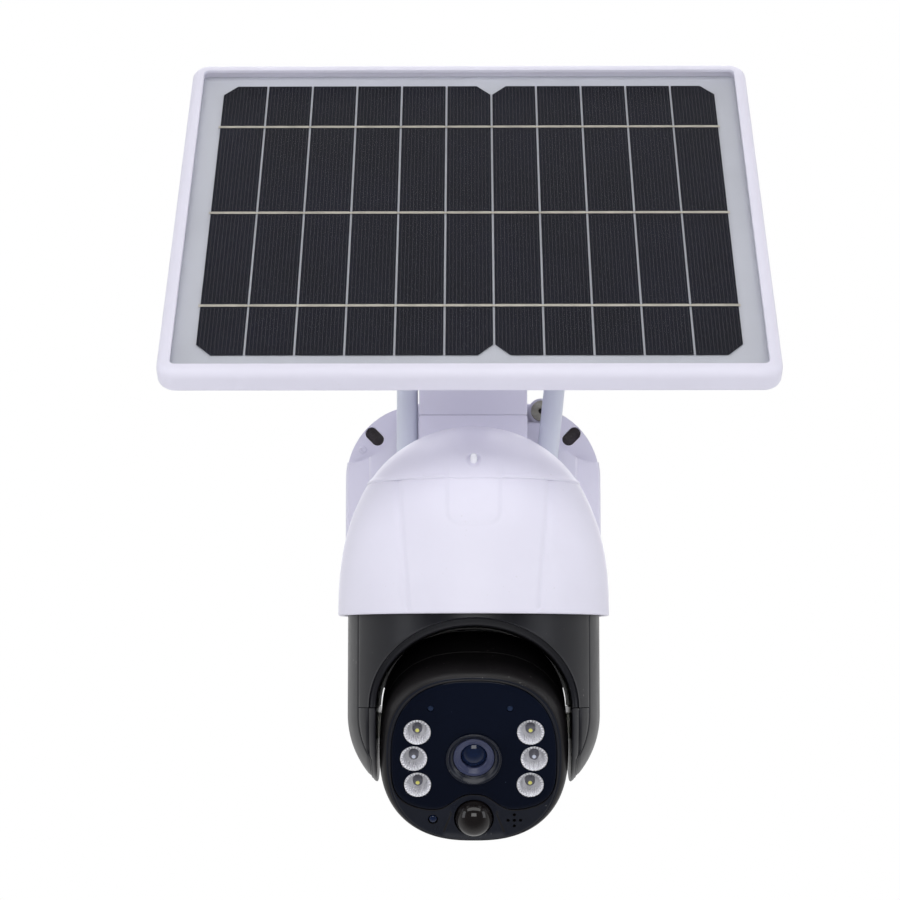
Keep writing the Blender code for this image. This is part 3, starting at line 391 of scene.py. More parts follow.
def make_finishes(colours):
    """One material for each slot of the record, and the extra ones that new pieces need."""
    white = white_plastic("white_plastic_look", colours)
    black = moulded("black_plastic_look", tuple(colours.charcoal), 0.34, 0.9, 0.10, Specular_IOR_Level=0.30)
    looks = {
        "white_plastic": white,
        "black_plastic": black,
        "black_acrylic": acrylic("black_acrylic_look", tuple(colours.acrylic)),
        "antenna_plastic": moulded("antenna_look", tuple(colours.antenna), 0.42, 0.5, 0.02),
        # Painted shade: the rubber's olive grey is the shaded tone of the white boss round the cable grommet;
        # every part of the rubber slot takes it.
        "rubber": rubber("rubber_look", (0.30, 0.29, 0.24)),
        "steel": metal("steel_look", (0.58, 0.58, 0.60), 0.24),
        "reflector": metal("reflector_look", (0.93, 0.93, 0.97), 0.12, (1.0, 1.0, 1.0), 0.25),
        "circuit_board": circuit_board("circuit_board_look"),
        "solar_cell": solar_cell("solar_cell_look", tuple(colours.cell)),
        "back_sheet": back_sheet("back_sheet_look", tuple(colours.back_sheet)),
        "clear_glass": clear_sheet("clear_glass_look"),
        "lens_glass": acrylic("lens_glass_look", (0.004, 0.010, 0.035), 0.02, 0.6),
        "gear_nylon": moulded("gear_nylon_look", (0.74, 0.73, 0.66), 0.45, 0.4, 0.03),
        "battery_sleeve": wrapped_cell("battery_sleeve_look"),
    }
    LOOKS.update(looks)
    head = tuple(colours.head_black)
    LOOKS["head_black"] = moulded("head_black_look", head, 0.42, 1.0, 0.10, Specular_IOR_Level=0.28)
    # Painted shade: the tunnel's inner wall is the yoke's own plastic, given a far darker matte black so that
    # it reads as shade.
    LOOKS["tunnel_painted_shade"] = rubber("tunnel_black_look", (0.0030, 0.0030, 0.0035))
    LOOKS["chin_black"] = moulded("chin_black_look", shade(tuple(colours.acrylic), 1.5), 0.30, 0.5, 0.10)
    LOOKS["lens_barrel"] = moulded("lens_barrel_look", (0.040, 0.048, 0.105), 0.30, 0.3, 0.06)
    LOOKS["smoked_dome"] = acrylic("smoked_dome_look", (0.007, 0.0055, 0.0055), 0.03, 0.5)
    LOOKS["sensor_dot"] = acrylic("sensor_dot_look", (0.012, 0.020, 0.045), 0.15)
    LOOKS["emitter"] = acrylic("emitter_look", (0.11, 0.11, 0.13), 0.06, 0.6)
    LOOKS["chip_yellow"] = moulded("chip_yellow_look", (0.75, 0.72, 0.18), 0.4, 0.2)
    LOOKS["chip_white"] = moulded("chip_white_look", (0.62, 0.66, 0.78), 0.4, 0.2)
    # The status light's lens: its own white, made brighter than the hood's as a painted highlight for the
    # bright band down its middle.
    LOOKS["lens_bright_painted"] = moulded("light_lens_look", (0.90, 0.90, 0.95), 0.18, 0.1, 0.01)
    # Painted shade: a dark fill at the back of each mount slot stands for the shade seen through it; the lead
    # in the boss takes the same dark rubber.
    LOOKS["slot_shade_and_lead"] = rubber("slot_rubber_look", (0.062, 0.055, 0.054))
    LOOKS["ribbon"] = metal("ribbon_look", (0.66, 0.62, 0.55), 0.42)


LOOKS = {}

# ---- Surfaces


def grid_faces(rows, columns, close_rows=False, close_columns=False):
    """Quads between neighbouring points of a grid, numbered row by row."""
    down = np.arange(rows if close_rows else rows - 1)
    along = np.arange(columns if close_columns else columns - 1)
    r, c = np.meshgrid(down, along, indexing="ij")
    r2, c2 = (r + 1) % rows, (c + 1) % columns
    corners = [r * columns + c, r * columns + c2, r2 * columns + c2, r2 * columns + c]
    return np.stack(corners, axis=-1).reshape(-1, 4)


def solid(points, close_rows=False, close_columns=False):
    """The points of a grid as (vertices, faces)."""
    rows, columns = points.shape[:2]
    return points.reshape(-1, 3), grid_faces(rows, columns, close_rows, close_columns)


def together(*shapes):
    """Several (vertices, faces) as one."""
    vertices, faces, count = [], [], 0
    for points, quads in shapes:
        vertices.append(points)
        faces.append(quads + count)
        count += len(points)
    return np.concatenate(vertices), np.concatenate(faces)


def tidy(mesh, merge=0.002 * MM, outward=True):
    """Merges doubled points, so that seams and poles close, and turns the faces outwards."""
    bm = bmesh.new()
    bm.from_mesh(mesh)
    bmesh.ops.remove_doubles(bm, verts=bm.verts, dist=merge)
    bmesh.ops.dissolve_degenerate(bm, edges=bm.edges, dist=merge)
    loose = [edge for edge in bm.edges if not edge.link_faces]
    bmesh.ops.delete(bm, geom=loose, context="EDGES")
    if outward:
        bmesh.ops.recalc_face_normals(bm, faces=bm.faces)
        if bm.calc_volume(signed=True) < 0:
            bmesh.ops.reverse_faces(bm, faces=bm.faces)
    bm.to_mesh(mesh)
    bm.free()


def piece(name, shape, look, body, replaces=(), sharp=35, outward=True):
    """A new piece from (vertices, faces), riding on a body and standing for CAD nodes."""
    vertices, faces = shape
    mesh = bpy.data.meshes.new(name)
    mesh.from_pydata((vertices * MM).tolist(), [], faces.tolist())
    tidy(mesh, outward=outward)
    mesh.shade_smooth()
    mesh.set_sharp_from_angle(angle=radians(sharp))
    mesh.materials.append(LOOKS[look])
    obj = bpy.data.objects.new(name, mesh)
    bpy.context.scene.collection.objects.link(obj)
    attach(obj, body)
    if replaces:
        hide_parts(*replaces)
    return obj


def cutter(name, shape):
    """A hidden solid that a Boolean takes away, removed once it has been used."""
    vertices, faces = shape
    mesh = bpy.data.meshes.new(name)
    mesh.from_pydata((vertices * MM).tolist(), [], faces.tolist())
    tidy(mesh)
    obj = bpy.data.objects.new(name, mesh)
    bpy.context.scene.collection.objects.link(obj)
    return obj


def carve(obj, *cutters, operation="DIFFERENCE"):
    """Cuts the solids out of a piece, or joins them to it, and keeps the result as its mesh."""
    for tool in cutters:
        step = obj.modifiers.new("carve", "BOOLEAN")
        step.operation = operation
        step.object = tool
    apply(obj)
    for tool in cutters:
        bpy.data.objects.remove(tool, do_unlink=True)
    tidy(obj.data, merge=0.001 * MM)
    obj.data.shade_smooth()
    fill_ends(obj)


def apply(obj):
    """Replaces a piece's mesh with its evaluated one."""
    bpy.context.view_layer.update()
    graph = bpy.context.evaluated_depsgraph_get()
    mesh = bpy.data.meshes.new_from_object(obj.evaluated_get(graph), depsgraph=graph)
    obj.modifiers.clear()
    obj.data = mesh


def soften(node, width, look, segments=2, crease=32, sharp=32, clamp=True):
    """A merged copy of a CAD node with its edges rounded, standing for the node."""
    source = frame["nodes"][node]
    mesh = source.data.copy()
    bm = bmesh.new()
    bm.from_mesh(mesh)
    bmesh.ops.remove_doubles(bm, verts=bm.verts, dist=0.002 * MM)
    bmesh.ops.dissolve_limit(bm, angle_limit=radians(0.6), verts=bm.verts, edges=bm.edges)
    bm.to_mesh(mesh)
    bm.free()
    mesh.materials.clear()
    mesh.materials.append(LOOKS[look])
    obj = bpy.data.objects.new(node + "_soft", mesh)
    bpy.context.scene.collection.objects.link(obj)
    round_edges = obj.modifiers.new("round", "BEVEL")
    round_edges.width = width * MM
    round_edges.segments = segments
    round_edges.limit_method = "ANGLE"
    round_edges.angle_limit = radians(crease)
    round_edges.use_clamp_overlap = clamp
    apply(obj)
    obj.data.shade_smooth()
    obj.data.set_sharp_from_angle(angle=radians(sharp))
    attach(obj, source["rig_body"])
    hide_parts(node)
    return obj


def faces_values(obj, name):
    """A vector of every face of a piece, such as its centre or normal."""
    values = np.zeros(len(obj.data.polygons) * 3)
    obj.data.polygons.foreach_get(name, values)
    return values.reshape(-1, 3)


def repaint(obj, look, chosen):
    """Gives the chosen faces of a piece a second material."""
    obj.data.materials.append(LOOKS[look])
    obj.data.polygons.foreach_set("material_index", chosen.astype(np.int32))


def smooth_step(value, low, high):
    share = np.clip((value - low) / (high - low), 0, 1)
    return share * share * (3 - 2 * share)


def about_x(points, turn, pivot):
    """Points turned about an X axis through a pivot."""
    c, s = np.cos(turn), np.sin(turn)
    x, y, z = points[..., 0], points[..., 1], points[..., 2]
    return np.stack([x + pivot[0], y * c - z * s + pivot[1], y * s + z * c + pivot[2]], axis=-1)


def to_head(points):
    """From the level head, centred on its tilt axis, to the row's frame."""
    return about_x(points, bpy.context.scene.solar_head.down, TILT)


def to_panel(points):
    """From the flat panel, centred on its hinge, to the row's frame."""
    low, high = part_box("panel_frame")
    middle = np.array([(low.x + high.x) / 2 / MM, 0, 0])
    return about_x(points, bpy.context.scene.solar_panel.slope, HINGE + middle)


def lathe(profile, steps=64, centre=(0, 0, 0), forward=False):
    """A profile of (radius, height) turned about Z, or about -Y when it faces forward.

    Point (a, k) is (r_k cos a, r_k sin a, h_k), plus the centre.
    """
    profile = np.asarray(profile, float)
    turn = np.linspace(0, 2 * np.pi, steps, endpoint=False)
    r, h = profile[:, 0][:, None], profile[:, 1][:, None]
    x, y, z = r * np.cos(turn), r * np.sin(turn), h + 0 * turn
    points = np.stack([x, -z, y] if forward else [x, y, z], axis=-1)
    return solid(points + np.array(centre), close_columns=True)


def rounded(points, radius=0.5, steps=4):
    """A polyline with each inner corner replaced by a small quadratic curve."""
    points = np.asarray(points, float)
    before, corner, after = points[:-2], points[1:-1], points[2:]
    back, on = before - corner, after - corner
    reach_back = np.linalg.norm(back, axis=1, keepdims=True) + 1e-9
    reach_on = np.linalg.norm(on, axis=1, keepdims=True) + 1e-9
    start = corner + back / reach_back * np.minimum(radius, 0.45 * reach_back)
    end = corner + on / reach_on * np.minimum(radius, 0.45 * reach_on)
    t = np.linspace(0, 1, steps + 1)[None, :, None]
    curve = (1 - t) ** 2 * start[:, None] + 2 * t * (1 - t) * corner[:, None] + t**2 * end[:, None]
    return np.concatenate([points[:1], curve.reshape(-1, points.shape[1]), points[-1:]])


def rounded_rectangle(width, height, radius, corner_steps=10, side_steps=6):
    """Points round a rectangle with quarter-circle corners, from the right-hand one on."""
    turn = np.linspace(0, np.pi / 2, corner_steps + 1)
    side = np.linspace(0, 1, side_steps + 2)[1:-1, None]
    centres = np.array([[1, 1], [-1, 1], [-1, -1], [1, -1]]) * [width / 2 - radius, height / 2 - radius]
    arcs = [
        centre + radius * np.stack([np.cos(turn + k * np.pi / 2), np.sin(turn + k * np.pi / 2)], axis=-1)
        for k, centre in enumerate(centres)
    ]
    ring = []
    for k, arc in enumerate(arcs):
        following = arcs[(k + 1) % 4][0]
        ring += [arc, arc[-1] + side * (following - arc[-1])]
    return np.concatenate(ring)


class Lengths:
    """Reads a property group's lengths in millimetres."""

    def __init__(self, group):
        self.group = group

    def __getattr__(self, name):
        return getattr(self.group, name) / MM


def sizes(name):
    return Lengths(getattr(bpy.context.scene, name))


# ---- Hood


def hood_radius(hood, z):
    """The hood's outer radius at a height: a barrel up to the seam, then a ball's cap.

    The barrel's radius falls from the rim's to the seam's with the height's share to the power 2.6.
    """
    share = np.clip((z - hood.rim_z) / (hood.seam_z - hood.rim_z), 0, 1)
    barrel = hood.rim_radius - (hood.rim_radius - hood.seam_radius) * share**2.6
    rise = hood.top_z - hood.seam_z
    ball = (hood.seam_radius**2 + rise**2) / (2 * rise)
    cap = np.sqrt(np.clip(ball**2 - (z - hood.top_z + ball) ** 2, 0, None))
    return np.where(z < hood.seam_z, barrel, cap)


def shield_depth(hood, x, z):
    """How far a point of the front lies inside the shield's outline, a rectangle with round lower corners."""
    corner = 6.0
    top = hood.seam_z + 13.5
    half_w, half_h = hood.shield_width / 2, (top - hood.shield_low) / 2
    over_x = np.abs(x) - half_w + corner
    over_z = np.abs(z - (top + hood.shield_low) / 2) - half_h + corner
    outside = np.hypot(np.clip(over_x, 0, None), np.clip(over_z, 0, None))
    return corner - outside - np.minimum(np.maximum(over_x, over_z), 0)


def light_pocket(hood, x, z):
    """The pocket of the status light: a round dish, steep at the side and soft at the mouth."""
    away = np.hypot(x, z - hood.seam_z - 7.0)
    return -1.3 * (1 - smooth_step(away, 1.9, 2.9))


def hood_creases(hood, x, z):
    """Two soft creases, which lean from the seam in towards the rim: bell-shaped grooves across."""
    share = (z - hood.rim_z) / (hood.seam_z - hood.rim_z)
    middle = 24.2 + 4.2 * share
    return -hood.crease_depth * np.exp(-(((np.abs(x) - middle) / 1.4) ** 2)) * (z < hood.seam_z)


def hood_relief(hood, x, z, front):
    """What stands out of the hood's round shape: shield, creases, light pocket and seam.

    The shield rises smoothly inside its outline and fades out above the seam. The seam is a groove
    -0.28 exp(-(d/0.22)^2) with a bead 0.50 exp(-((d-0.95)/0.75)^2) over it, d being the height above
    the seam; the bead stops at the shield.
    """
    inside = shield_depth(hood, x, z)
    fade = 1 - smooth_step(z, hood.seam_z + 1.0, hood.seam_z + 11.0)
    shield = hood.shield_proud * smooth_step(inside, 0.0, 2.3) * fade
    above = z - hood.seam_z
    bead = 0.50 * np.exp(-(((above - 0.95) / 0.75) ** 2)) * (1 - front * smooth_step(inside, -0.4, 0.6))
    groove = -0.28 * np.exp(-((above / 0.22) ** 2))
    return (shield + hood_creases(hood, x, z) + light_pocket(hood, x, z)) * front + bead + groove


def hood_turns(count=480):
    """Angles round the hood from its front, closer together in front."""
    u = np.linspace(-np.pi, np.pi, count, endpoint=False)
    return u - 0.6 * np.sin(u)


def round_hood(hood, profile, relief_rows):
    """Points (r sin a, -r cos a, z) about the pan axis, r being the profile's plus the relief."""
    turn = hood_turns()[None, :]
    r, z = profile[:, 0][:, None], profile[:, 1][:, None]
    x = r * np.sin(turn)
    front = smooth_step(np.cos(turn), 0.1, 0.3)
    r = r + hood_relief(hood, x, z, front) * relief_rows[:, None]
    return np.stack([r * np.sin(turn), PAN[1] - r * np.cos(turn), z + 0 * turn], axis=-1)


def skirt_points(hood):
    """The skirt's wall: the outside up to the seam, the inside down, and a rounded rim."""
    wall, rim_round, top = 2.2, 1.7, hood.seam_z - 0.01
    long_rise = np.linspace(hood.rim_z + rim_round, top - 1.3, 96)
    last_rise = top - 1.2 * np.linspace(1, 0, 13) ** 1.5
    up = np.concatenate([long_rise, last_rise])
    outside = np.stack([hood_radius(hood, up), up], axis=-1)
    down = np.linspace(top, hood.rim_z + rim_round, 12)
    inside = np.stack([hood_radius(hood, down) - wall, down], axis=-1)
    rim = hood.rim_radius
    inner_rim = rim - wall
    corners = [(inner_rim, hood.rim_z + 1), (inner_rim, hood.rim_z), (rim, hood.rim_z), outside[0]]
    under = rounded(corners, 1.6, 7)
    profile = np.concatenate([outside, inside[:-1], under[1:-1]])
    rows = np.zeros(len(profile))
    rows[: len(outside)] = 1
    return round_hood(hood, profile, rows)


def cap_points(hood):
    """The cap: the ball from the seam up to the pole, and its inside back down."""
    wall, rise = 2.2, hood.top_z - hood.seam_z
    lift = np.concatenate([0.01 + 1.2 * np.linspace(0, 1, 13) ** 1.5, np.linspace(1.35, 13.5, 64)])
    lift = np.concatenate([lift, np.linspace(14.0, rise - 0.3, 18)])
    z = hood.seam_z + lift
    outside = np.stack([hood_radius(hood, z), z], axis=-1)
    pole = np.array([[0, hood.top_z]])
    back = np.linspace(hood.top_z - wall, hood.seam_z + 0.01, 16)
    reach = hood_radius(hood, np.clip(back + wall, None, hood.top_z))
    inside = np.stack([np.clip(reach, 0, None), back], axis=-1)
    inside[:, 0] = np.minimum(inside[:, 0], hood.seam_radius - wall)
    inside[0, 0] = 0
    profile = np.concatenate([outside, pole, inside])
    rows = np.zeros(len(profile))
    rows[: len(outside)] = 1
    return round_hood(hood, profile, rows)


def closed_sheet(points, shift):
    """A sheet made solid: its copy set back by a shift, joined to it all round."""
    back = points + np.array(shift)
    ring = np.concatenate([points[:, :1], back[:, :1]], axis=1)
    right = np.concatenate([points[:, -1:], back[:, -1:]], axis=1)
    low = np.stack([points[0], back[0]])
    high = np.stack([points[-1], back[-1]])
    return together(solid(points), solid(back), solid(ring), solid(right), solid(low), solid(high))


def pill(centre, half_w, half_h, half_d, power=2.4, steps=32):
    """A rounded pill: (w cos^e a cos b, d sin a, h cos a sin b) with the signed power 2/n on each."""
    a = np.linspace(-np.pi / 2, np.pi / 2, steps // 2 + 1)[:, None]
    b = np.linspace(0, 2 * np.pi, steps, endpoint=False)[None, :]
    bend = lambda value: np.sign(value) * np.abs(value) ** (2 / power)
    x = half_w * np.cos(a) * bend(np.cos(b))
    z = half_h * np.cos(a) * bend(np.sin(b))
    y = half_d * np.sin(a) + 0 * b
    return solid(np.stack([x, y, z], axis=-1) + np.array(centre), close_columns=True)


class SOLARCAM_OT_hood(bpy.types.Operator):
    """Make the hood: skirt, cap and the status light"""

    bl_idname = "solarcam.hood"
    bl_label = "Hood"

    def execute(self, context):
        hood = sizes("solar_hood")
        shape = solid(skirt_points(hood), close_rows=True, close_columns=True)
        piece("hood_skirt_surface", shape, "white_plastic", "base", ["hood_skirt"])
        shape = solid(cap_points(hood), close_columns=True)
        shape = together(shape, ring_strip(cap_points(hood)))
        piece("hood_cap_surface", shape, "white_plastic", "base", ["hood_cap"])
        z = hood.seam_z + 7.0
        front = PAN[1] - hood_radius(hood, np.array(z))
        shape = pill((0, front + 1.05, z), 1.35, 2.6, 1.45)
        # The lens's brighter white is partly painted highlight.
        piece("status_light_lens", shape, "lens_bright_painted", "base", ["status_light"])
        return {"FINISHED"}


def ring_strip(points):
    """The strip that closes a turned shell between its last row and its first."""
    return solid(np.stack([points[-1], points[0]]), close_columns=True)


# ---- Yoke


def bell_radius(yoke, z):
    """The yoke's outer radius: straight above the turn, then a quarter of a circle in to the foot."""
    depth, drop = yoke.turn_z - yoke.low_z, yoke.radius - yoke.foot_radius
    curve = (depth**2 + drop**2) / (2 * drop)
    below = np.clip(yoke.turn_z - z, 0, depth)
    return yoke.radius - curve + np.sqrt(curve**2 - below**2)


def bell_y(yoke, x, z):
    return -np.sqrt(np.clip(bell_radius(yoke, z) ** 2 - x**2, 0, None))


def yoke_front_points(yoke, columns=121):
    """Half of the yoke: the section is carried along the arch, from the right foot to the left one.

    Along the arch at angle a, (h cos a, s + k sin a), a section runs from the tunnel's wall over a
    hollow lip onto the bell, out along the ray to the cover's seam, and back inside the wall.
    """
    seam = yoke.seam_z + 0.15
    side = np.sqrt(yoke.radius**2 - yoke.cover_half**2)
    corner = np.arctan2(yoke.top_z - seam, side)
    to_corner = np.linspace(0, corner, columns // 4)
    past_corner = np.linspace(corner, np.pi / 2, columns // 4)[1:]
    half = np.concatenate([to_corner, past_corner])
    ray = np.concatenate([half, np.pi - half[-2::-1]])[None, :]
    c, s = np.cos(ray), np.sin(ray)
    rise = yoke.tunnel_top - seam
    arch = 1 / np.hypot(c / yoke.tunnel_half, s / rise)
    edge = np.minimum(side / np.maximum(np.abs(c), 1e-6), (yoke.top_z - seam) / np.maximum(s, 1e-6))
    wall, lip = 2.2, yoke.lip

    def at(reach, depth):
        x, z = reach * c, seam + reach * s
        return np.stack([x, np.minimum(bell_y(yoke, x, z) + depth, -0.15), z], axis=-1)

    def back(reach):
        x, z = reach * c, seam + reach * s
        return np.stack([x, -0.15 + 0 * x, z], axis=-1)

    lip_curve = [(0, 3.6), (0.02, 3.3), (0.12, 2.6), (0.3, 2.0), (0.55, 1.45), (0.8, 1.0), (0.94, 0.72)]
    lip_curve += [(0.97, 0.45), (0.99, 0.1), (1.02, -0.14), (1.07, -0.18), (1.13, -0.08), (1.2, 0.0)]
    rows = [back(arch)] + [at(arch, depth) for depth in (14.0, 6.0)]
    rows += [at(arch + share * lip, depth) for share, depth in lip_curve]
    start = arch + lip * 1.2
    rows += [at(start + (edge - 0.5 - start) * share, 0) for share in np.linspace(0.04, 1, 16)]
    rows += [at(edge - 0.15, 0.15), at(edge, 0.5), at(edge, wall)]
    rows += [at(arch + wall + (edge - arch - wall) * share, wall) for share in (0.75, 0.5, 0.25, 0)]
    rows += [at(arch + wall, 14.0), back(arch + wall)]
    return np.concatenate(rows, axis=0).reshape(len(rows), -1, 3) + np.array([0, PAN[1], 0])


def shade_rib_points(yoke, columns=81):
    """A dark rib inside the rear arch, added only to keep the light out above the head: painted shade, thin
    at both its ends.
    """
    turn = np.linspace(np.radians(13), np.pi - np.radians(13), columns)[None, :]
    seam, depth = yoke.seam_z + 0.15, 5.2 * smooth_step(np.sin(turn), 0.2, 0.42) + 0.2
    rise = yoke.tunnel_top - seam
    rows = []
    for inset, back in ((-0.6, 0.0), (depth, 0.0), (depth, 1.6), (-0.6, 1.6)):
        x, z = (yoke.tunnel_half - inset) * np.cos(turn), seam + (rise - inset) * np.sin(turn)
        y = np.minimum(34.0, np.sqrt(yoke.radius**2 - x**2) - 4.5) + back
        rows.append(np.stack([x, y, z], axis=-1))
    return np.concatenate(rows, axis=0) + np.array([0, PAN[1], 0])


def half_turn(points):
    """The same points turned by half a circle about the pan axis."""
    return points * np.array([-1, -1, 1]) + np.array([2 * PAN[0], 2 * PAN[1], 0])


def foot_reach(yoke, turn, x_limit):
    """How far a ray in the side view goes before the bell has come in to x_limit, by halving."""
    low, high = np.zeros_like(turn), np.full_like(turn, 40.0)
    for _ in range(40):
        middle = (low + high) / 2
        y, z = middle * np.cos(turn), yoke.seam_z - 0.15 + middle * np.sin(turn)
        wide = np.sqrt(np.clip(bell_radius(yoke, z) ** 2 - y**2, 0, None)) > x_limit
        wide &= z > yoke.low_z
        low, high = np.where(wide, middle, low), np.where(wide, high, middle)
    return low


# How far out the rim's groove is at each step, the room it leaves to the cover's seam, and its depth.
FOOT_GROOVE = [(38.1, 1.0, 0), (38.6, 0.9, 0.15), (38.8, 0.8, 0.9), (39.4, 0.7, 0.9), (39.55, 0.6, 0.15)]


def foot_points(yoke, columns=97):
    """The right-hand foot, on rays from the middle of its seam in the side view.

    A ray runs over the flat inner face, round the soft rim onto the bell, over the rim's groove,
    back to the cover's seam, and down into the seat behind the cover.
    """
    turn = np.linspace(-np.pi, 0, columns)[None, :]
    c, s = np.cos(turn), np.sin(turn)
    tip = foot_reach(yoke, turn, yoke.tunnel_half + 0.02)
    seat_x = 38.0
    under_cover = yoke.cover_half / np.maximum(np.abs(c), 1e-6)
    seam = np.minimum(foot_reach(yoke, turn, seat_x + 0.5), under_cover)

    def on_bell(reach, depth=0.0):
        y, z = reach * c, yoke.seam_z - 0.15 + reach * s
        x = np.sqrt(np.clip(bell_radius(yoke, z) ** 2 - y**2, 0, None)) - depth
        return np.stack([np.maximum(x, yoke.tunnel_half), y, z], axis=-1)

    def at_x(reach, x):
        y, z = reach * c, yoke.seam_z - 0.15 + reach * s
        return np.stack([x + 0 * y, y, z], axis=-1)

    def reach_at(x_limit, spare):
        return np.maximum(foot_reach(yoke, turn, x_limit), seam + spare)

    point = at_x(tip, yoke.tunnel_half)
    inner, outer = at_x(tip - 1.6, yoke.tunnel_half), on_bell(reach_at(37.3, 1.2))
    blend = [(1 - t) ** 2 * inner + 2 * t * (1 - t) * point + t**2 * outer for t in np.linspace(0, 1, 8)]
    start = reach_at(39.9, 0.5)
    rows = [at_x(tip * 0, yoke.tunnel_half), at_x(tip * 0.5, yoke.tunnel_half), *blend]
    rows += [on_bell(reach_at(x, spare), depth) for x, spare, depth in FOOT_GROOVE]
    rows += [on_bell(start + (seam + 0.4 - start) * share) for share in (0, 0.3, 0.6, 1.0)]
    rows += [on_bell(seam + 0.1, 0.1), on_bell(seam, 0.4), at_x(seam, seat_x)]
    rows += [at_x(seam * share, seat_x) for share in (0.5, 0.0)]
    return np.concatenate(rows, axis=0).reshape(len(rows), -1, 3) + np.array([0, PAN[1], 0])


def cover_points(yoke):
    """The right-hand side cover: a patch of the bell, whose border folds in to a flat back.

    Across, y runs evenly between two rounded folds. Down, z runs from under the hood to where the
    bell has come in to the cover's back.
    """
    half, back_x, top = yoke.cover_half - 0.3, 38.5, -36.9
    fold = np.array([0.0, 0.0, 0.06, 0.2, 0.45, 0.8])
    drop = np.array([1.0, 0.8, 0.42, 0.2, 0.06, 0.0])
    y = np.concatenate([-half + fold, np.linspace(-half + 1.6, half - 1.6, 40), (half - fold)[::-1]])
    drop_y = np.concatenate([drop, np.zeros(40), drop[::-1]])
    steep = np.sqrt(back_x**2 + y**2) + 0.35
    depth, inward = yoke.turn_z - yoke.low_z, yoke.radius - yoke.foot_radius
    curve = (depth**2 + inward**2) / (2 * inward)
    low = yoke.turn_z - np.sqrt(curve**2 - (steep - yoke.radius + curve) ** 2)
    share = np.linspace(0, 1, 70)[:, None]
    z = low + (top - low) * share
    y = y[None, :] + 0 * z
    x = np.sqrt(bell_radius(yoke, z) ** 2 - y**2)
    full = drop_y[None, :] >= 1
    x = np.where(full, back_x, x - 0.8 * drop_y[None, :])
    x = np.maximum(x, back_x)
    x[0], x[-1] = back_x, back_x
    face = np.stack([x, y, z], axis=-1)
    flat = np.stack([back_x + 0 * x, y, z], axis=-1)
    return face + np.array([0, PAN[1], 0]), flat + np.array([0, PAN[1], 0])


def capped(points):
    """A shell whose section is a closed loop carried along its columns: the ends are filled later."""
    return solid(points, close_rows=True)


def fill_ends(obj):
    """Fills the flat openings that are left at a shell's ends."""
    bm = bmesh.new()
    bm.from_mesh(obj.data)
    edges = [edge for edge in bm.edges if edge.is_boundary]
    if edges:
        bmesh.ops.holes_fill(bm, edges=edges, sides=0)
    bmesh.ops.recalc_face_normals(bm, faces=bm.faces)
    bm.to_mesh(obj.data)
    bm.free()
    obj.data.set_sharp_from_angle(angle=radians(35))


class SOLARCAM_OT_yoke(bpy.types.Operator):
    """Make the yoke that turns under the hood: two shells, two feet and two side covers"""

    bl_idname = "solarcam.yoke"
    bl_label = "Yoke"

    def execute(self, context):
        yoke = sizes("solar_yoke")
        front = yoke_front_points(yoke)
        for side, points in (("front", front), ("rear", half_turn(front))):
            name = f"yoke_{side}"
            shell = piece(name + "_surface", capped(points), "black_plastic", "yoke", [name])
            fill_ends(shell)
            middle = faces_values(shell, "center") / MM - np.array([0, PAN[1], 0])
            seam = yoke.seam_z + 0.15
            rise = (middle[:, 2] - seam) / (yoke.tunnel_top - seam)
            ellipse = np.hypot(middle[:, 0] / yoke.tunnel_half, rise)
            deep = np.abs(middle[:, 1]) + bell_y(yoke, middle[:, 0], middle[:, 2]) < -3.0
            # Painted shade: faces deep inside the tunnel take the darker matte black.
            repaint(shell, "tunnel_painted_shade", (ellipse < 1.015) & deep)
        # Painted shade: a dark rib that only keeps the space over the head dark.
        shape = solid(shade_rib_points(yoke), close_rows=True)
        fill_ends(piece("yoke_baffle", shape, "chin_black", "yoke"))
        foot = foot_points(yoke)
        face, flat = cover_points(yoke)
        for side, turn in (("right", lambda points: points), ("left", half_turn)):
            name = f"arm_foot_{side}"
            shape = solid(turn(foot))
            shell = piece(name + "_surface", shape, "black_plastic", "yoke", [name])
            fill_ends(shell)
            name = f"arm_cover_{side}"
            shape = together(solid(turn(face)), solid(turn(flat)))
            piece(name + "_surface", shape, "black_plastic", "yoke", [name])
        return {"FINISHED"}


# ---- Head


def window_curve(head, count):
    """The window's outline as a radius for each of evenly spaced angles.

    Above the lens it is a superellipse of power 2.5. Below, it is one of power 3.8, less a bell-shaped
    notch over the sensor dome.
    """
    t = np.linspace(0, np.pi, 1200)
    half, top, low = head.window_half, head.window_top, head.window_low
    above = np.stack([half * bow(np.cos(t), 2.5), top * bow(np.sin(t), 2.5)], axis=-1)
    x = -half * np.cos(t)
    notch = 6.8 * np.exp(-((np.abs(x) / 9.3) ** 2.8))
    z = notch - low * (1 - np.abs(x / half) ** 3.8) ** (1 / 3.8)
    outline = np.concatenate([above[:-1], np.stack([x, z], axis=-1)[:-1]])
    around = np.unwrap(np.arctan2(outline[:, 1], outline[:, 0]))
    reach = np.hypot(outline[:, 0], outline[:, 1])
    turn = np.linspace(0, 2 * np.pi, count, endpoint=False)
    return turn, np.interp(turn, around, reach, period=2 * np.pi)


def bow(value, power):
    """The signed power 2/n of a superellipse of power n."""
    return np.sign(value) * np.abs(value) ** (2 / power)


def head_curve(turn, half, power=2.5):
    """A superellipse's radius at an angle: h / (|cos a|^n + |sin a|^n)^(1/n)."""
    return half / (np.abs(np.cos(turn)) ** power + np.abs(np.sin(turn)) ** power) ** (1 / power)


def face_curve(head, turn, power=2.5):
    """The face's edge: a superellipse of its own half width, and of one height above and one below."""
    tall = np.where(np.sin(turn) > 0, head.face_top, head.face_low)
    across = np.abs(np.cos(turn) / head.face_half) ** power
    upright = np.abs(np.sin(turn) / tall) ** power
    return (across + upright) ** (-1 / power)


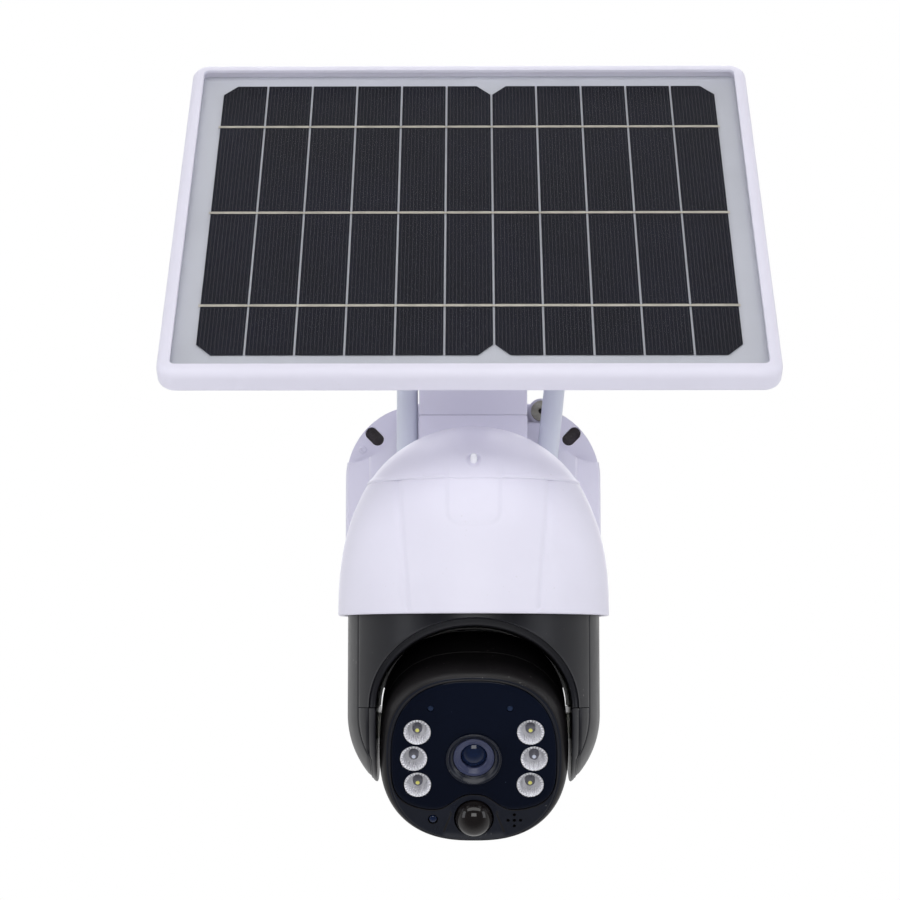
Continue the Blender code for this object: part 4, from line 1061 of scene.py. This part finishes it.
def polar(turn, reach, y):
    """The points at a radius round the lens axis, at one depth or several."""
    return np.stack([reach * np.cos(turn), y + 0 * reach, reach * np.sin(turn)], axis=-1)


def chin_relief(x, z):
    """The chin's raised tongue round the sensor dome, which flares down to the face's edge."""
    edge = 8.6 + np.clip(-22.9 - z, 0, None) * 0.36
    inside = 1 - smooth_step(np.abs(x) - edge, -0.6, 0.6)
    return -0.55 * inside * smooth_step(-z, 17.0, 21.0)


def bezel_points(head, count=288):
    """The bezel, in rings: the window's recess, the face, its fine edge, and the barrel it widens to.

    The widening is a quarter of an ellipse: the reach grows as sin a and the depth as 1 - cos a.
    """
    turn, window = window_curve(head, count)
    half, front, joint = head.half, head.face_y, head.joint_y - 0.15
    seat, opening, edge, flare = window + 0.25, window - 2.2, 0.6, 6.5
    face, outer, inner = face_curve(head, turn), head_curve(turn, half), head_curve(turn, half - 2.2)
    rows = [polar(turn, opening, front + 4.2), polar(turn, opening, front + 1.9)]
    rows += [polar(turn, seat, front + 1.9), polar(turn, seat, front + 0.25)]
    rows += [polar(turn, seat + 0.08, front + 0.08), polar(turn, seat + 0.25, front)]
    for share in np.linspace(0.06, 1, 18):
        reach = seat + 0.25 + (face - edge - seat - 0.25) * share
        ring = polar(turn, reach, front)
        ring[:, 1] += chin_relief(ring[:, 0], ring[:, 2]) * min(1, 3 * share) * min(1, 8 * (1 - share))
        rows.append(ring)
    for a in np.linspace(0, np.radians(62), 6)[1:]:
        rows.append(polar(turn, face - edge + edge * np.sin(a), front + edge * (1 - np.cos(a))))
    for a in np.linspace(0, np.pi / 2, 16)[1:]:
        rows.append(polar(turn, face + (outer - face) * np.sin(a), front + 0.25 + flare * (1 - np.cos(a))))
    rows += [polar(turn, outer, y) for y in np.linspace(front + flare + 1, joint - 0.5, 6)]
    rows += [polar(turn, outer - 0.03, joint - 0.05), polar(turn, outer - 0.15, joint)]
    rows += [polar(turn, inner, joint)]
    rows += [polar(turn, inner, front + flare), polar(turn, face - 2.0, front + 4.2)]
    return np.stack(rows)


def shell_points(head, count=160):
    """The rear shell: a barrel, then a ball whose rings shrink as cos a while y grows as sin a."""
    turn = np.linspace(0, 2 * np.pi, count, endpoint=False)
    half, wall, joint = head.half, 2.2, head.joint_y + 0.15
    reach = head.back_y - head.ball_y
    rows = []
    for inset, order in ((0.0, 1), (wall, -1)):
        ring = head_curve(turn, half - inset)
        side = [polar(turn, ring - 0.15 * (inset == 0), joint)]
        if inset == 0:
            side += [polar(turn, ring - 0.03, joint + 0.05), polar(turn, ring, joint + 0.3)]
        side += [polar(turn, ring, y) for y in np.linspace(joint + 1.5, head.ball_y, 6)]
        for a in np.linspace(0, np.pi / 2, 30)[1:]:
            side.append(polar(turn, ring * np.cos(a), head.ball_y + (reach - inset) * np.sin(a)))
        rows += side[::order]
    return np.stack(rows)


def window_points(head, count=288):
    """The window's plate, from its middle out over a small chamfer and back behind."""
    turn, window = window_curve(head, count)
    front, thick = head.face_y + 0.1, 1.5
    rows = [polar(turn, window * share, front) for share in (0, 0.25, 0.5, 0.75, 0.93)]
    rows += [polar(turn, window - 0.5, front), polar(turn, window - 0.2, front + 0.1)]
    rows += [polar(turn, window, front + 0.3)]
    rows += [polar(turn, window, front + thick)]
    rows += [polar(turn, window * share, front + thick) for share in (0.7, 0.35, 0)]
    return np.stack(rows)


def facing(profile, centre, steps=64):
    """A turned piece that faces forward: its profile is (radius, how far in front of the face)."""
    return lathe(profile, steps, centre, forward=True)


def place_on_head(shape):
    points, faces = shape
    return to_head(points), faces


def hole(name, x, z, radius, face_y, steps=40):
    """A cutter through the face, along the lens axis."""
    profile = [(0, 8), (radius, 8), (radius, -12), (0, -12)]
    return cutter(name, place_on_head(facing(profile, (x, face_y, z), steps)))


LED_PLACES = [(-20.8, 10.7), (-22.2, 0.0), (-20.8, -10.7), (20.8, 10.7), (22.2, 0.0), (20.8, -10.7)]
SENSOR_PLACES = [(-15.8, 20.4), (13.2, 20.4)]
DOME_PLACE = (0.0, -24.1)
EYE_PLACE = (-15.2, -24.8)
SPEAKER_PLACE = (15.0, -25.2)


class SOLARCAM_OT_head(bpy.types.Operator):
    """Make the head's bezel, rear shell and face window, with their holes"""

    bl_idname = "solarcam.head"
    bl_label = "Head"

    def execute(self, context):
        head = sizes("solar_head")
        front = head.face_y
        shape = place_on_head(solid(bezel_points(head), close_rows=True, close_columns=True))
        bezel = piece("head_bezel_surface", shape, "head_black", "head", ["head_bezel"])
        sound = [(0, 0), (2.3, 0), (-2.3, 0), (0, 2.3), (0, -2.3)]
        sound = [
            hole(f"sound_{k}", SPEAKER_PLACE[0] + x, SPEAKER_PLACE[1] + z, 0.62, front, 20)
            for k, (x, z) in enumerate(sound)
        ]
        dome = hole("dome_cut", *DOME_PLACE, 7.4, front, 72)
        carve(bezel, dome, hole("eye_cut", *EYE_PLACE, 1.9, front), *sound)
        ahead = to_head(np.array([[0.0, -1.0, 0.0]]))[0] - TILT
        repaint(bezel, "chin_black", faces_values(bezel, "normal") @ ahead > 0.9)
        shape = place_on_head(solid(shell_points(head), close_rows=True, close_columns=True))
        piece("head_shell_surface", shape, "head_black", "head", ["head_shell"])
        shape = place_on_head(solid(window_points(head), close_columns=True))
        window = piece("face_window_plate", shape, "black_acrylic", "head", ["face_window"])
        cuts = [hole(f"led_cut_{k}", x, z, 5.15, front, 48) for k, (x, z) in enumerate(LED_PLACES)]
        cuts += [hole(f"sensor_cut_{k}", x, z, 1.25, front, 24) for k, (x, z) in enumerate(SENSOR_PLACES)]
        carve(window, hole("lens_cut", 0, 0, 10.15, front, 96), *cuts)
        return {"FINISHED"}


def fluted(profile, flutes, depth, centre, steps):
    """A turned piece whose radius waves by depth, as cos of the number of flutes times the angle."""
    profile = np.asarray(profile, float)
    turn = np.linspace(0, 2 * np.pi, steps, endpoint=False)
    wave = 1 + np.outer(profile[:, 2] * depth, np.cos(flutes * turn))
    r = profile[:, 0][:, None] * wave
    points = np.stack([r * np.cos(turn), -profile[:, 1][:, None] + 0 * r, r * np.sin(turn)], axis=-1)
    return solid(points + np.array(centre), close_columns=True)


def reflector_profile(radius, deep):
    """(radius, height, share of the fluting) from the bowl's floor up to its rim and round the back."""
    k = np.linspace(0, 1, 18)
    bowl_r = 2.2 + (radius - 0.45 - 2.2) * np.sqrt(k)
    bowl_h = -deep + 0.9 + (deep - 0.9) * k
    bowl = np.stack([bowl_r, bowl_h, smooth_step(k, 0.1, 0.5)], axis=-1)
    floor = np.array([[0, -deep + 0.9, 0]])
    rim = np.array([[radius - 0.3, 0.1, 0.7], [radius - 0.12, 0.1, 0.2], [radius, 0, 0], [radius, -0.9, 0]])
    back = np.array([[radius - 0.4, -1.2, 0], [2.9, -deep, 0], [0, -deep, 0]])
    return np.concatenate([floor, bowl, rim, back])


class SOLARCAM_OT_lights(bpy.types.Operator):
    """Make the six lamp reflectors with their emitters and chips"""

    bl_idname = "solarcam.lights"
    bl_label = "Lamps"

    def execute(self, context):
        front = sizes("solar_head").face_y
        radius, deep = 4.95, 5.4
        a = np.linspace(0, np.pi / 2, 14)
        bullet = [(0, 2.9)] + list(zip(1.85 * np.sin(a[1:]), 1.3 + 1.6 * np.cos(a[1:]))) + [(1.95, 0), (0, 0)]
        chip = [(0, 0.36), (0.45, 0.32), (0.72, 0.12), (0.78, -0.2), (0, -0.2)]
        for k, (x, z) in enumerate(LED_PLACES, 1):
            centre = (x, front + 0.4, z)
            cup = place_on_head(fluted(reflector_profile(radius, deep), 26, 0.11, centre, 312))
            piece(f"lamp_reflector_{k}", cup, "reflector", "head", [f"led_cup_{k}"], sharp=50)
            floor = (x, front + 0.4 + deep - 0.9 - 0.02, z)
            shape = place_on_head(facing(bullet, floor, 40))
            piece(f"lamp_emitter_{k}", shape, "emitter", "head")
            look = "chip_white" if k in (2, 5) else "chip_yellow"
            shape = place_on_head(facing(chip, (floor[0], floor[1] - 2.75, floor[2]), 24))
            piece(f"lamp_chip_{k}", shape, look, "head")
        return {"FINISHED"}


class SOLARCAM_OT_lens(bpy.types.Operator):
    """Make the camera's lens: outer ring, stepped barrel and domed front glass"""

    bl_idname = "solarcam.lens"
    bl_label = "Lens"

    def execute(self, context):
        front = sizes("solar_head").face_y
        ring = [(9.9, -3.7), (9.9, -0.02), (10.3, -0.02), (10.3, 0.45)]
        ring += [(10.1, 0.75), (9.75, 0.75), (9.35, 0.5)]
        ring += [(8.6, -0.6), (7.75, -1.2), (7.65, -3.7)]
        ring = rounded(ring + [ring[0]], 0.25, 3)
        shape = place_on_head(facing(ring, (0, front, 0), 128))
        piece("lens_ring_surface", shape, "chin_black", "head", ["lens_ring"])
        barrel = [(6.9, -17), (6.9, -3.3), (7.6, -3.3), (7.6, -1.25), (7.4, -1.1), (6.5, -1.35), (6.3, -1.55)]
        barrel += [(5.1, -2.1), (4.85, -2.35), (4.75, -5.0), (4.75, -17), (6.9, -17)]
        shape = place_on_head(facing(rounded(barrel, 0.2, 3), (0, front, 0), 128))
        piece("lens_barrel_surface", shape, "lens_barrel", "head", ["lens_barrel"])
        a = np.linspace(0, np.radians(40), 14)
        ball = 4.65 / np.sin(a[-1])
        dome = list(zip(ball * np.sin(a), -1.6 - ball * (1 - np.cos(a))))
        dome += [(4.65, -9.0), (0, -9.0)]
        shape = place_on_head(facing(dome, (0, front, 0), 96))
        piece("front_lens_glass", shape, "lens_glass", "head", ["front_lens"])
        return {"FINISHED"}


class SOLARCAM_OT_sensors(bpy.types.Operator):
    """Make the motion sensor's dome, the light eye and the two small sensors in the window"""

    bl_idname = "solarcam.sensors"
    bl_label = "Sensors"

    def execute(self, context):
        front = sizes("solar_head").face_y
        a = np.linspace(0, np.pi / 2, 26)
        outer = list(zip(6.9 * np.sin(a), 6.1 * np.cos(a)))
        inner = list(zip(6.1 * np.sin(a[::-1]), 5.3 * np.cos(a[::-1])))
        dome = outer + [(6.9, -2.6), (6.1, -2.6)] + inner
        centre = (DOME_PLACE[0], front - 0.2, DOME_PLACE[1])
        shape = place_on_head(facing(dome, centre, 96))
        piece("motion_dome", shape, "smoked_dome", "head", ["pir_dome"])
        a = a[::2]
        button = list(zip(1.5 * np.sin(a), -0.5 + 0.7 * np.cos(a))) + [(1.5, -3.8), (0, -3.8)]
        shape = place_on_head(facing(button, (EYE_PLACE[0], front, EYE_PLACE[1]), 40))
        piece("light_eye_glass", shape, "lens_glass", "head", ["light_eye"])
        dot = list(zip(1.15 * np.sin(a), -0.55 + 0.45 * np.cos(a))) + [(1.15, -2.0), (0, -2.0)]
        for k, (x, z) in enumerate(SENSOR_PLACES, 1):
            shape = place_on_head(facing(dot, (x, front, z), 32))
            piece(f"window_sensor_{k}", shape, "sensor_dot", "head")
        return {"FINISHED"}


# ---- Panel


def frame_points(panel):
    """The frame: a section carried round a rectangle with round corners.

    The section goes from the rebate behind the glass over the lip, the flat front, a round outer
    edge and the side to the back. Each of its points is an inset of the outline and a height.
    """
    front = 27.2
    back = front - panel.thickness
    lip = panel.lip
    bend = np.linspace(0, np.pi / 2, 9)
    section = [(3.7, back), (3.7, front - 1.35), (lip, front - 1.35)]
    section += [(lip, front - 0.3), (lip - 0.1, front - 0.08)]
    section += [(lip - 0.4, front), (3.9, front)]
    section += list(zip(3.6 - 3.6 * np.sin(bend[1:]), front - 3.6 + 3.6 * np.cos(bend[1:])))
    section += list(zip(2.0 - 2.0 * np.cos(bend), back + 2.0 - 2.0 * np.sin(bend)))
    rings = []
    for inset, z in section:
        radius = max(panel.corner - inset, 0.5)
        ring = rounded_rectangle(panel.width - 2 * inset, panel.height - 2 * inset, radius)
        rings.append(np.concatenate([ring + [0, 8.0], np.full((len(ring), 1), z)], axis=1))
    return np.stack(rings)


CELL_MIDDLE = 9.2
CUT_CORNERS = {0: (1, 0), 5: (0, 1), 6: (1, 0), 10: (0, 1)}


def strip_points(panel, k, count=11, cut=5.5):
    """One strip of cell, as rows up the slope; the outer strips of a wafer have cut-off corners."""
    pitch = panel.cell_width + panel.cell_gap
    middle = (k - (count - 1) / 2) * pitch
    left, right = CUT_CORNERS.get(k, (0, 0))
    half_w, half_l = panel.cell_width / 2, panel.cell_length / 2
    y = np.array([-half_l, -half_l + cut, half_l - cut, half_l])
    ends = np.array([1.0, 0.0, 0.0, 1.0]) * cut
    x = np.stack([middle - half_w + ends * left, middle + half_w - ends * right], axis=-1)
    return np.stack([x, y[:, None] + CELL_MIDDLE + 0 * x, 23.4 + 0 * x], axis=-1)


def ribbon_points(panel, offset, count=11):
    """A flat wire over the strips: it narrows and dips at each gap, as exp(-(d/w)^2) of the distance d."""
    pitch = panel.cell_width + panel.cell_gap
    end = count * pitch / 2 + 0.4
    x = np.linspace(-end, end, 760)
    phase = np.abs((x / pitch + 0.5 * (count % 2) + 0.5) % 1 - 0.5) * pitch
    near = np.exp(-((phase / 0.55) ** 2)) * (np.abs(x) < end - 3)
    half = 0.6 - 0.16 * near
    y = np.stack([-half, -half * 0.6, half * 0.6, half], axis=-1)
    z = 23.54 - 0.08 * near[:, None] - np.array([0.06, 0, 0, 0.06])
    return np.stack([x[:, None] + 0 * y, y + CELL_MIDDLE + offset, z + 0 * y], axis=-1)


class SOLARCAM_OT_panel(bpy.types.Operator):
    """Make the solar panel: frame, strips of cell and their ribbons"""

    bl_idname = "solarcam.panel"
    bl_label = "Solar panel"

    def execute(self, context):
        panel = sizes("solar_panel")
        points = to_panel(frame_points(panel))
        shape = solid(points, close_rows=True, close_columns=True)
        piece("panel_frame_surface", shape, "white_plastic", "panel", ["panel_frame"])
        for k in range(11):
            points, faces = closed_sheet(strip_points(panel, k), (0, 0, -0.3))
            shape = (to_panel(points), faces)
            piece(f"cell_strip_{k + 1}", shape, "solar_cell", "panel", ["cell_string"])
        for k, offset in enumerate((-52.0, 0.0, 52.0), 1):
            points, faces = closed_sheet(ribbon_points(panel, offset), (0, 0, -0.12))
            piece(f"cell_ribbon_{k}", (to_panel(points), faces), "ribbon", "panel")
        return {"FINISHED"}


def slab(width, height, corner, back, front, edge, middle=(0.0, 0.0)):
    """A slab that faces forward, from y = back to y = -front, with rounded corners and front edge."""
    bend = np.linspace(0, np.pi / 2, 7)
    section = [(0.0, back), *zip(edge - edge * np.cos(bend), -front + edge - edge * np.sin(bend))]
    rings = []
    for inset, y in section:
        ring = rounded_rectangle(width - 2 * inset, height - 2 * inset, max(corner - inset, 0.3), 16, 4)
        rings.append(np.stack([ring[:, 0] + middle[0], y + 0 * ring[:, 0], ring[:, 1] + middle[1]], axis=-1))
    first, last = rings[0] * [0, 1, 0], rings[-1] * [0, 1, 0]
    centre = np.array([middle[0], 0.0, middle[1]])
    return solid(np.stack([first + centre, *rings, last + centre]), close_columns=True)


def pin_through(x, z, radius, back, front, steps=48):
    """A plain cylinder that faces forward, from y = back to y = front."""
    return lathe([(0, -back), (radius, -back), (radius, -front), (0, -front)], steps, (x, 0, z), forward=True)


def mount_slot(x, z, turn, back, front, long=8.6, wide=5.2, edge=0.02):
    """A slot-shaped slab turned about its middle."""
    points, faces = slab(long, wide, wide / 2 - 0.01, back, front, edge)
    c, s = np.cos(turn), np.sin(turn)
    px, py, pz = points[:, 0], points[:, 1], points[:, 2]
    return np.stack([px * c - pz * s + x, py, px * s + pz * c + z], axis=-1), faces


def ring_groove(inner, outer, back, front, steps=96):
    """A ring with a rectangular section, from y = back to y = front."""
    turn = np.linspace(0, 2 * np.pi, steps, endpoint=False)
    corners = [(inner, back), (outer, back), (outer, front), (inner, front)]
    rows = [np.stack([r * np.cos(turn), y + 0 * turn, r * np.sin(turn)], axis=-1) for r, y in corners]
    return solid(np.stack(rows), close_rows=True, close_columns=True)


SCALLOP_GROOVE = ring_groove(19.4, 20.05, -3.2, -6.0)
CORNERS = [(-1, -1), (-1, 1), (1, -1), (1, 1)]
SLOT_PLACE = (40.2, 35.3)


class SOLARCAM_OT_mount(bpy.types.Operator):
    """Make the wall bracket, and round the edges of the arm, the hinge and the panel's back"""

    bl_idname = "solarcam.mount"
    bl_label = "Mount"

    def execute(self, context):
        self.make_bracket(sizes("solar_hood"))
        # Painted shade: a dark fill at the back of each mount slot.
        for sx, sz in CORNERS:
            place = (sx * SLOT_PLACE[0], sz * SLOT_PLACE[1], sx * sz * np.pi / 4)
            shape = mount_slot(*place, -0.3, 1.3, 8.5, 5.1, 0.4)
            piece(f"slot_plug_{sx}_{sz}", shape, "slot_shade_and_lead", "base")
        mark = [(0, 4.2), (0.5, 4.2), (0.7, 4.5), (1.3, 4.45), (1.65, 4.1), (1.65, 3.9), (0, 3.9)]
        shape = lathe(mark, 32, (-45.1, 0, 29.8), forward=True)
        piece("plate_mark", shape, "white_plastic", "base")
        shape = pin_through(27.5, 44.5, 1.15, -2.0, -13.0, 24)
        piece("lead_plug", shape, "slot_shade_and_lead", "base")
        soften("panel_arm", 0.8, "white_plastic")
        soften("panel_ears", 0.5, "white_plastic")
        soften("panel_back", 0.7, "white_plastic")
        soften("junction_box", 0.8, "black_plastic")
        soften("hinge_bolt", 0.3, "steel")
        soften("hinge_knob", 0.6, "black_plastic")
        # The grommet takes the rubber look, whose olive grey is painted shade.
        soften("cable_grommet", 0.25, "rubber")
        for side in ("left", "right"):
            soften(f"antenna_base_{side}", 0.3, "antenna_plastic")
            soften(f"hood_screw_{side}", 0.2, "steel")
        return {"FINISHED"}

    def make_bracket(self, hood):
        """The plate, its raised face, neck, saddle and boss in one, less scallops, slots and hollows."""
        shape = slab(103, 96, 30, 0, 12, 1.6)
        bracket = piece("bracket_surface", shape, "white_plastic", "base", ["wall_bracket"])
        parts = [slab(84, 80, 12, -6, 15.5, 1.2), slab(43, 51.28, 1.0, -7, 30, 0.3, (0, 15.64))]
        parts += [slab(67, 44, 1.0, -8, 40, 0.5, (0, -14)), pin_through(27.5, 44.5, 5.2, -3, -14)]
        for k, shape in enumerate(parts):
            carve(bracket, cutter(f"part_{k}", shape), operation="UNION")
        cuts = []
        for sx, sz in CORNERS:
            cuts.append(pin_through(sx * 50, sz * 44, 20, -4, -60, 96))
            cuts.append(mount_slot(sx * SLOT_PLACE[0], sz * SLOT_PLACE[1], sx * sz * np.pi / 4, 5, 20))
            cuts.append(slab(24, 37, 1.5, 2, 9, 0.5, (sx * 15, sz * 21.5)))
            points, faces = SCALLOP_GROOVE
            cuts.append((points + np.array([sx * 50, 0, sz * 44]), faces))
            if sz > 0:
                cuts.append(pin_through(sx * 17, -22, 1.8, 10, -30, 24))
        rim, seam = hood.rim_z, hood.seam_z
        z = np.concatenate([np.linspace(rim - 4, seam, 24), np.linspace(seam + 1, hood.top_z, 24)])
        profile = [(0, rim - 4), *zip(hood_radius(hood, z) + 0.3, z), (0, hood.top_z + 0.3)]
        cuts += [lathe(profile, 128, (PAN[0], PAN[1], 0)), pin_through(27.5, 44.5, 2.8, 10, -20, 24)]
        for k, shape in enumerate(cuts):
            carve(bracket, cutter(f"bracket_cut_{k}", shape))


class SOLARCAM_OT_antennas(bpy.types.Operator):
    """Make the two antenna rods, each with the slit and pin of its hinge"""

    bl_idname = "solarcam.antennas"
    bl_label = "Antennas"

    def execute(self, context):
        radius, height = 4.25, 99.0
        a = np.linspace(0, np.pi / 2, 10)
        tip = list(zip((radius - 0.2) * np.sin(a), height - 3 + 3 * np.cos(a)))
        rod = tip + [(radius - 0.1, 60), (radius, 18), (radius, -0.6), (3.6, -2.0), (2.4, -3.0), (0, -3.4)]
        for side in ("left", "right"):
            joint = JOINTS[f"{side}_antenna_fold"]
            pivot = np.array(joint["pos_m"]) / MM
            low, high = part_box(f"antenna_rod_{side}")
            lean = np.arctan2((low.x + high.x) / 2 / MM - pivot[0], (high.z / MM - pivot[2]) / 2)
            if side == "left":
                lean = 0.0

            def stand(shape):
                points, faces = shape
                c, s = np.cos(lean), np.sin(lean)
                x, y, z = points[:, 0], points[:, 1], points[:, 2]
                return np.stack([x * c + z * s, y, z * c - x * s], axis=-1) + pivot, faces

            obj = piece(
                f"antenna_{side}", stand(lathe(rod, 56)), "antenna_plastic", f"{side}_antenna",
                [f"antenna_rod_{side}"],
            )
            box = rounded_rectangle(3.7, 14, 0.3, 3, 1)
            slit = np.stack([np.concatenate([0 * box[:, :1] + x, box - [0, 2.4]], axis=1) for x in (-8, 8)])
            ends = [np.concatenate([slit[k].mean(axis=0)[None] + 0 * slit[k]])[None] for k in (0, 1)]
            slit = np.concatenate([ends[0], slit, ends[1]])
            carve(obj, cutter("slit", stand(solid(slit, close_columns=True))))
            pin = [(0, 3.3), (0.8, 3.3), (1.0, 3.1), (1.0, -3.1), (0.8, -3.3), (0, -3.3)]
            shape = stand(lathe(pin, 24, forward=True))
            piece(f"antenna_pin_{side}", shape, "steel", f"{side}_antenna")
        return {"FINISHED"}


class SOLARCAM_OT_finishes(bpy.types.Operator):
    """Make the materials"""

    bl_idname = "solarcam.finishes"
    bl_label = "Finishes"

    def execute(self, context):
        make_finishes(context.scene.solar_colours)
        return {"FINISHED"}


class SOLARCAM_OT_inside(bpy.types.Operator):
    """Give every carried-over part the material of its slot"""

    bl_idname = "solarcam.inside"
    bl_label = "Inner parts"

    def execute(self, context):
        for part in frame["record"]["subparts"]:
            node = frame["nodes"][part["node"]]
            look = LOOKS[part["material_slot"]]
            if node.material_slots:
                for slot in node.material_slots:
                    slot.material = look
            else:
                node.data.materials.append(look)
        return {"FINISHED"}


def softbox(name, place, aim, size, power, colour=(1, 1, 1)):
    """A rectangular area light that points at a spot."""
    light = bpy.data.lights.new(name, "AREA")
    light.shape = "RECTANGLE"
    light.size, light.size_y = size
    light.energy = power
    light.color = colour
    obj = bpy.data.objects.new(name, light)
    obj.location = place
    way = Vector(aim) - Vector(place)
    obj.rotation_euler = way.to_track_quat("-Z", "Y").to_euler()
    bpy.context.scene.collection.objects.link(obj)


class SOLARCAM_OT_stage(bpy.types.Operator):
    """Make the floor, the soft studio light and the camera"""

    bl_idname = "solarcam.stage"
    bl_label = "Stage"

    def execute(self, context):
        self.make_floor()
        self.make_world()
        middle = (0, -0.06, 0.0)
        softbox("key", (0.0, -1.2, 1.25), middle, (2.6, 0.7), 14.5)
        softbox("front_fill", (0.0, -1.9, 0.25), middle, (0.95, 0.65), 7.8)
        for side in (-1, 1):
            softbox(f"side_{side}", (side * 1.3, -0.75, 0.2), middle, (0.5, 0.9), 3, (0.93, 0.95, 1.0))
        softbox("top", (0, 0.75, 1.35), middle, (1.4, 0.8), 8)
        softbox("back", (0, 1.6, 0.5), middle, (1.4, 1.0), 6)
        self.make_camera()
        context.scene.view_settings.view_transform = "Standard"
        return {"FINISHED"}

    def make_floor(self):
        corner = np.array([-4.4, 4.4])
        x, y = np.meshgrid(corner, corner)
        points = np.stack([x, y, np.full_like(x, -0.6)], axis=-1)
        mesh = bpy.data.meshes.new("floor")
        mesh.from_pydata(points.reshape(-1, 3).tolist(), [], grid_faces(2, 2).tolist())
        floor = bpy.data.objects.new("floor", mesh)
        finish = Finish("floor_look", Roughness=0.85, Specular_IOR_Level=0.1)
        mottle = finish.noise(3.0, 3.0)
        finish.use(Base_Color=finish.mix(mottle, (0.88, 0.88, 0.89), (0.92, 0.92, 0.93)))
        mesh.materials.append(finish.material)
        bpy.context.scene.collection.objects.link(floor)
        floor.visible_glossy = False

    def make_world(self):
        """A white room for the camera. Other rays see it dimmer in front and overhead."""
        world = bpy.data.worlds.new("studio")
        world.use_nodes = True
        tree = world.node_tree
        tree.nodes.clear()
        way = tree.nodes.new("ShaderNodeTexCoord")
        parts = tree.nodes.new("ShaderNodeSeparateXYZ")
        tree.links.new(way.outputs["Generated"], parts.inputs[0])
        ranges = []
        for axis, low, high, start, end in (("Y", -0.75, 0.1, 0.16, 0.80), ("Z", 0.35, 0.9, 1.0, 0.45)):
            ramp = tree.nodes.new("ShaderNodeMapRange")
            ramp.interpolation_type = "SMOOTHSTEP"
            for socket, value in zip(("From Min", "From Max", "To Min", "To Max"), (low, high, start, end)):
                ramp.inputs[socket].default_value = value
            tree.links.new(parts.outputs[axis], ramp.inputs["Value"])
            ranges.append(ramp)
        product = tree.nodes.new("ShaderNodeMath")
        product.operation = "MULTIPLY"
        for socket, ramp in enumerate(ranges):
            tree.links.new(ramp.outputs["Result"], product.inputs[socket])
        room = tree.nodes.new("ShaderNodeBackground")
        tree.links.new(product.outputs[0], room.inputs["Strength"])
        white = tree.nodes.new("ShaderNodeBackground")
        for shader in (room, white):
            shader.inputs["Color"].default_value = (1.0, 1.0, 1.0, 1.0)
        path = tree.nodes.new("ShaderNodeLightPath")
        mix = tree.nodes.new("ShaderNodeMixShader")
        tree.links.new(path.outputs["Is Camera Ray"], mix.inputs[0])
        tree.links.new(room.outputs[0], mix.inputs[1])
        tree.links.new(white.outputs[0], mix.inputs[2])
        output = tree.nodes.new("ShaderNodeOutputWorld")
        tree.links.new(mix.outputs[0], output.inputs["Surface"])
        bpy.context.scene.world = world

    def make_camera(self):
        data = bpy.data.cameras.new("camera")
        data.lens = 95.16
        data.sensor_width = 36.0
        camera = bpy.data.objects.new("camera", data)
        camera.location = (-0.0022, -0.9708, -0.0570)
        camera.rotation_euler = (radians(95.124), 0, radians(0.428))
        bpy.context.scene.collection.objects.link(camera)
        bpy.context.scene.camera = camera


OPERATORS = (
    SOLARCAM_OT_finishes,
    SOLARCAM_OT_stage,
    SOLARCAM_OT_hood,
    SOLARCAM_OT_yoke,
    SOLARCAM_OT_head,
    SOLARCAM_OT_lights,
    SOLARCAM_OT_lens,
    SOLARCAM_OT_sensors,
    SOLARCAM_OT_panel,
    SOLARCAM_OT_mount,
    SOLARCAM_OT_antennas,
    SOLARCAM_OT_inside,
)
GROUPS = {
    "solar_hood": HoodSizes,
    "solar_yoke": YokeSizes,
    "solar_head": HeadSizes,
    "solar_panel": PanelSizes,
    "solar_colours": Colours,
}


class SOLARCAM_PT_sidebar(bpy.types.Panel):
    """Lists the sizes, the colours and the steps that make the camera"""

    bl_idname = "SOLARCAM_PT_sidebar"
    bl_label = "Solar camera"
    bl_space_type = "VIEW_3D"
    bl_region_type = "UI"
    bl_category = "Solar camera"

    def draw(self, context):
        for operator in OPERATORS:
            self.layout.operator(operator.bl_idname)
        for name, group in GROUPS.items():
            box = self.layout.box()
            for prop in group.__annotations__:
                box.prop(getattr(context.scene, name), prop)


CLASSES = (*GROUPS.values(), *OPERATORS, SOLARCAM_PT_sidebar)


def register():
    for cls in CLASSES:
        bpy.utils.register_class(cls)
    for name, group in GROUPS.items():
        setattr(bpy.types.Scene, name, PointerProperty(type=group))


def unregister():
    for name in GROUPS:
        delattr(bpy.types.Scene, name)
    for cls in reversed(CLASSES):
        bpy.utils.unregister_class(cls)


def main():
    register()
    bpy.ops.solarcam.finishes()
    bpy.ops.solarcam.stage()
    bpy.ops.solarcam.hood()
    bpy.ops.solarcam.yoke()
    bpy.ops.solarcam.head()
    bpy.ops.solarcam.lights()
    bpy.ops.solarcam.lens()
    bpy.ops.solarcam.sensors()
    bpy.ops.solarcam.panel()
    bpy.ops.solarcam.mount()
    bpy.ops.solarcam.antennas()
    bpy.ops.solarcam.inside()


if __name__ == "__main__":
    main()
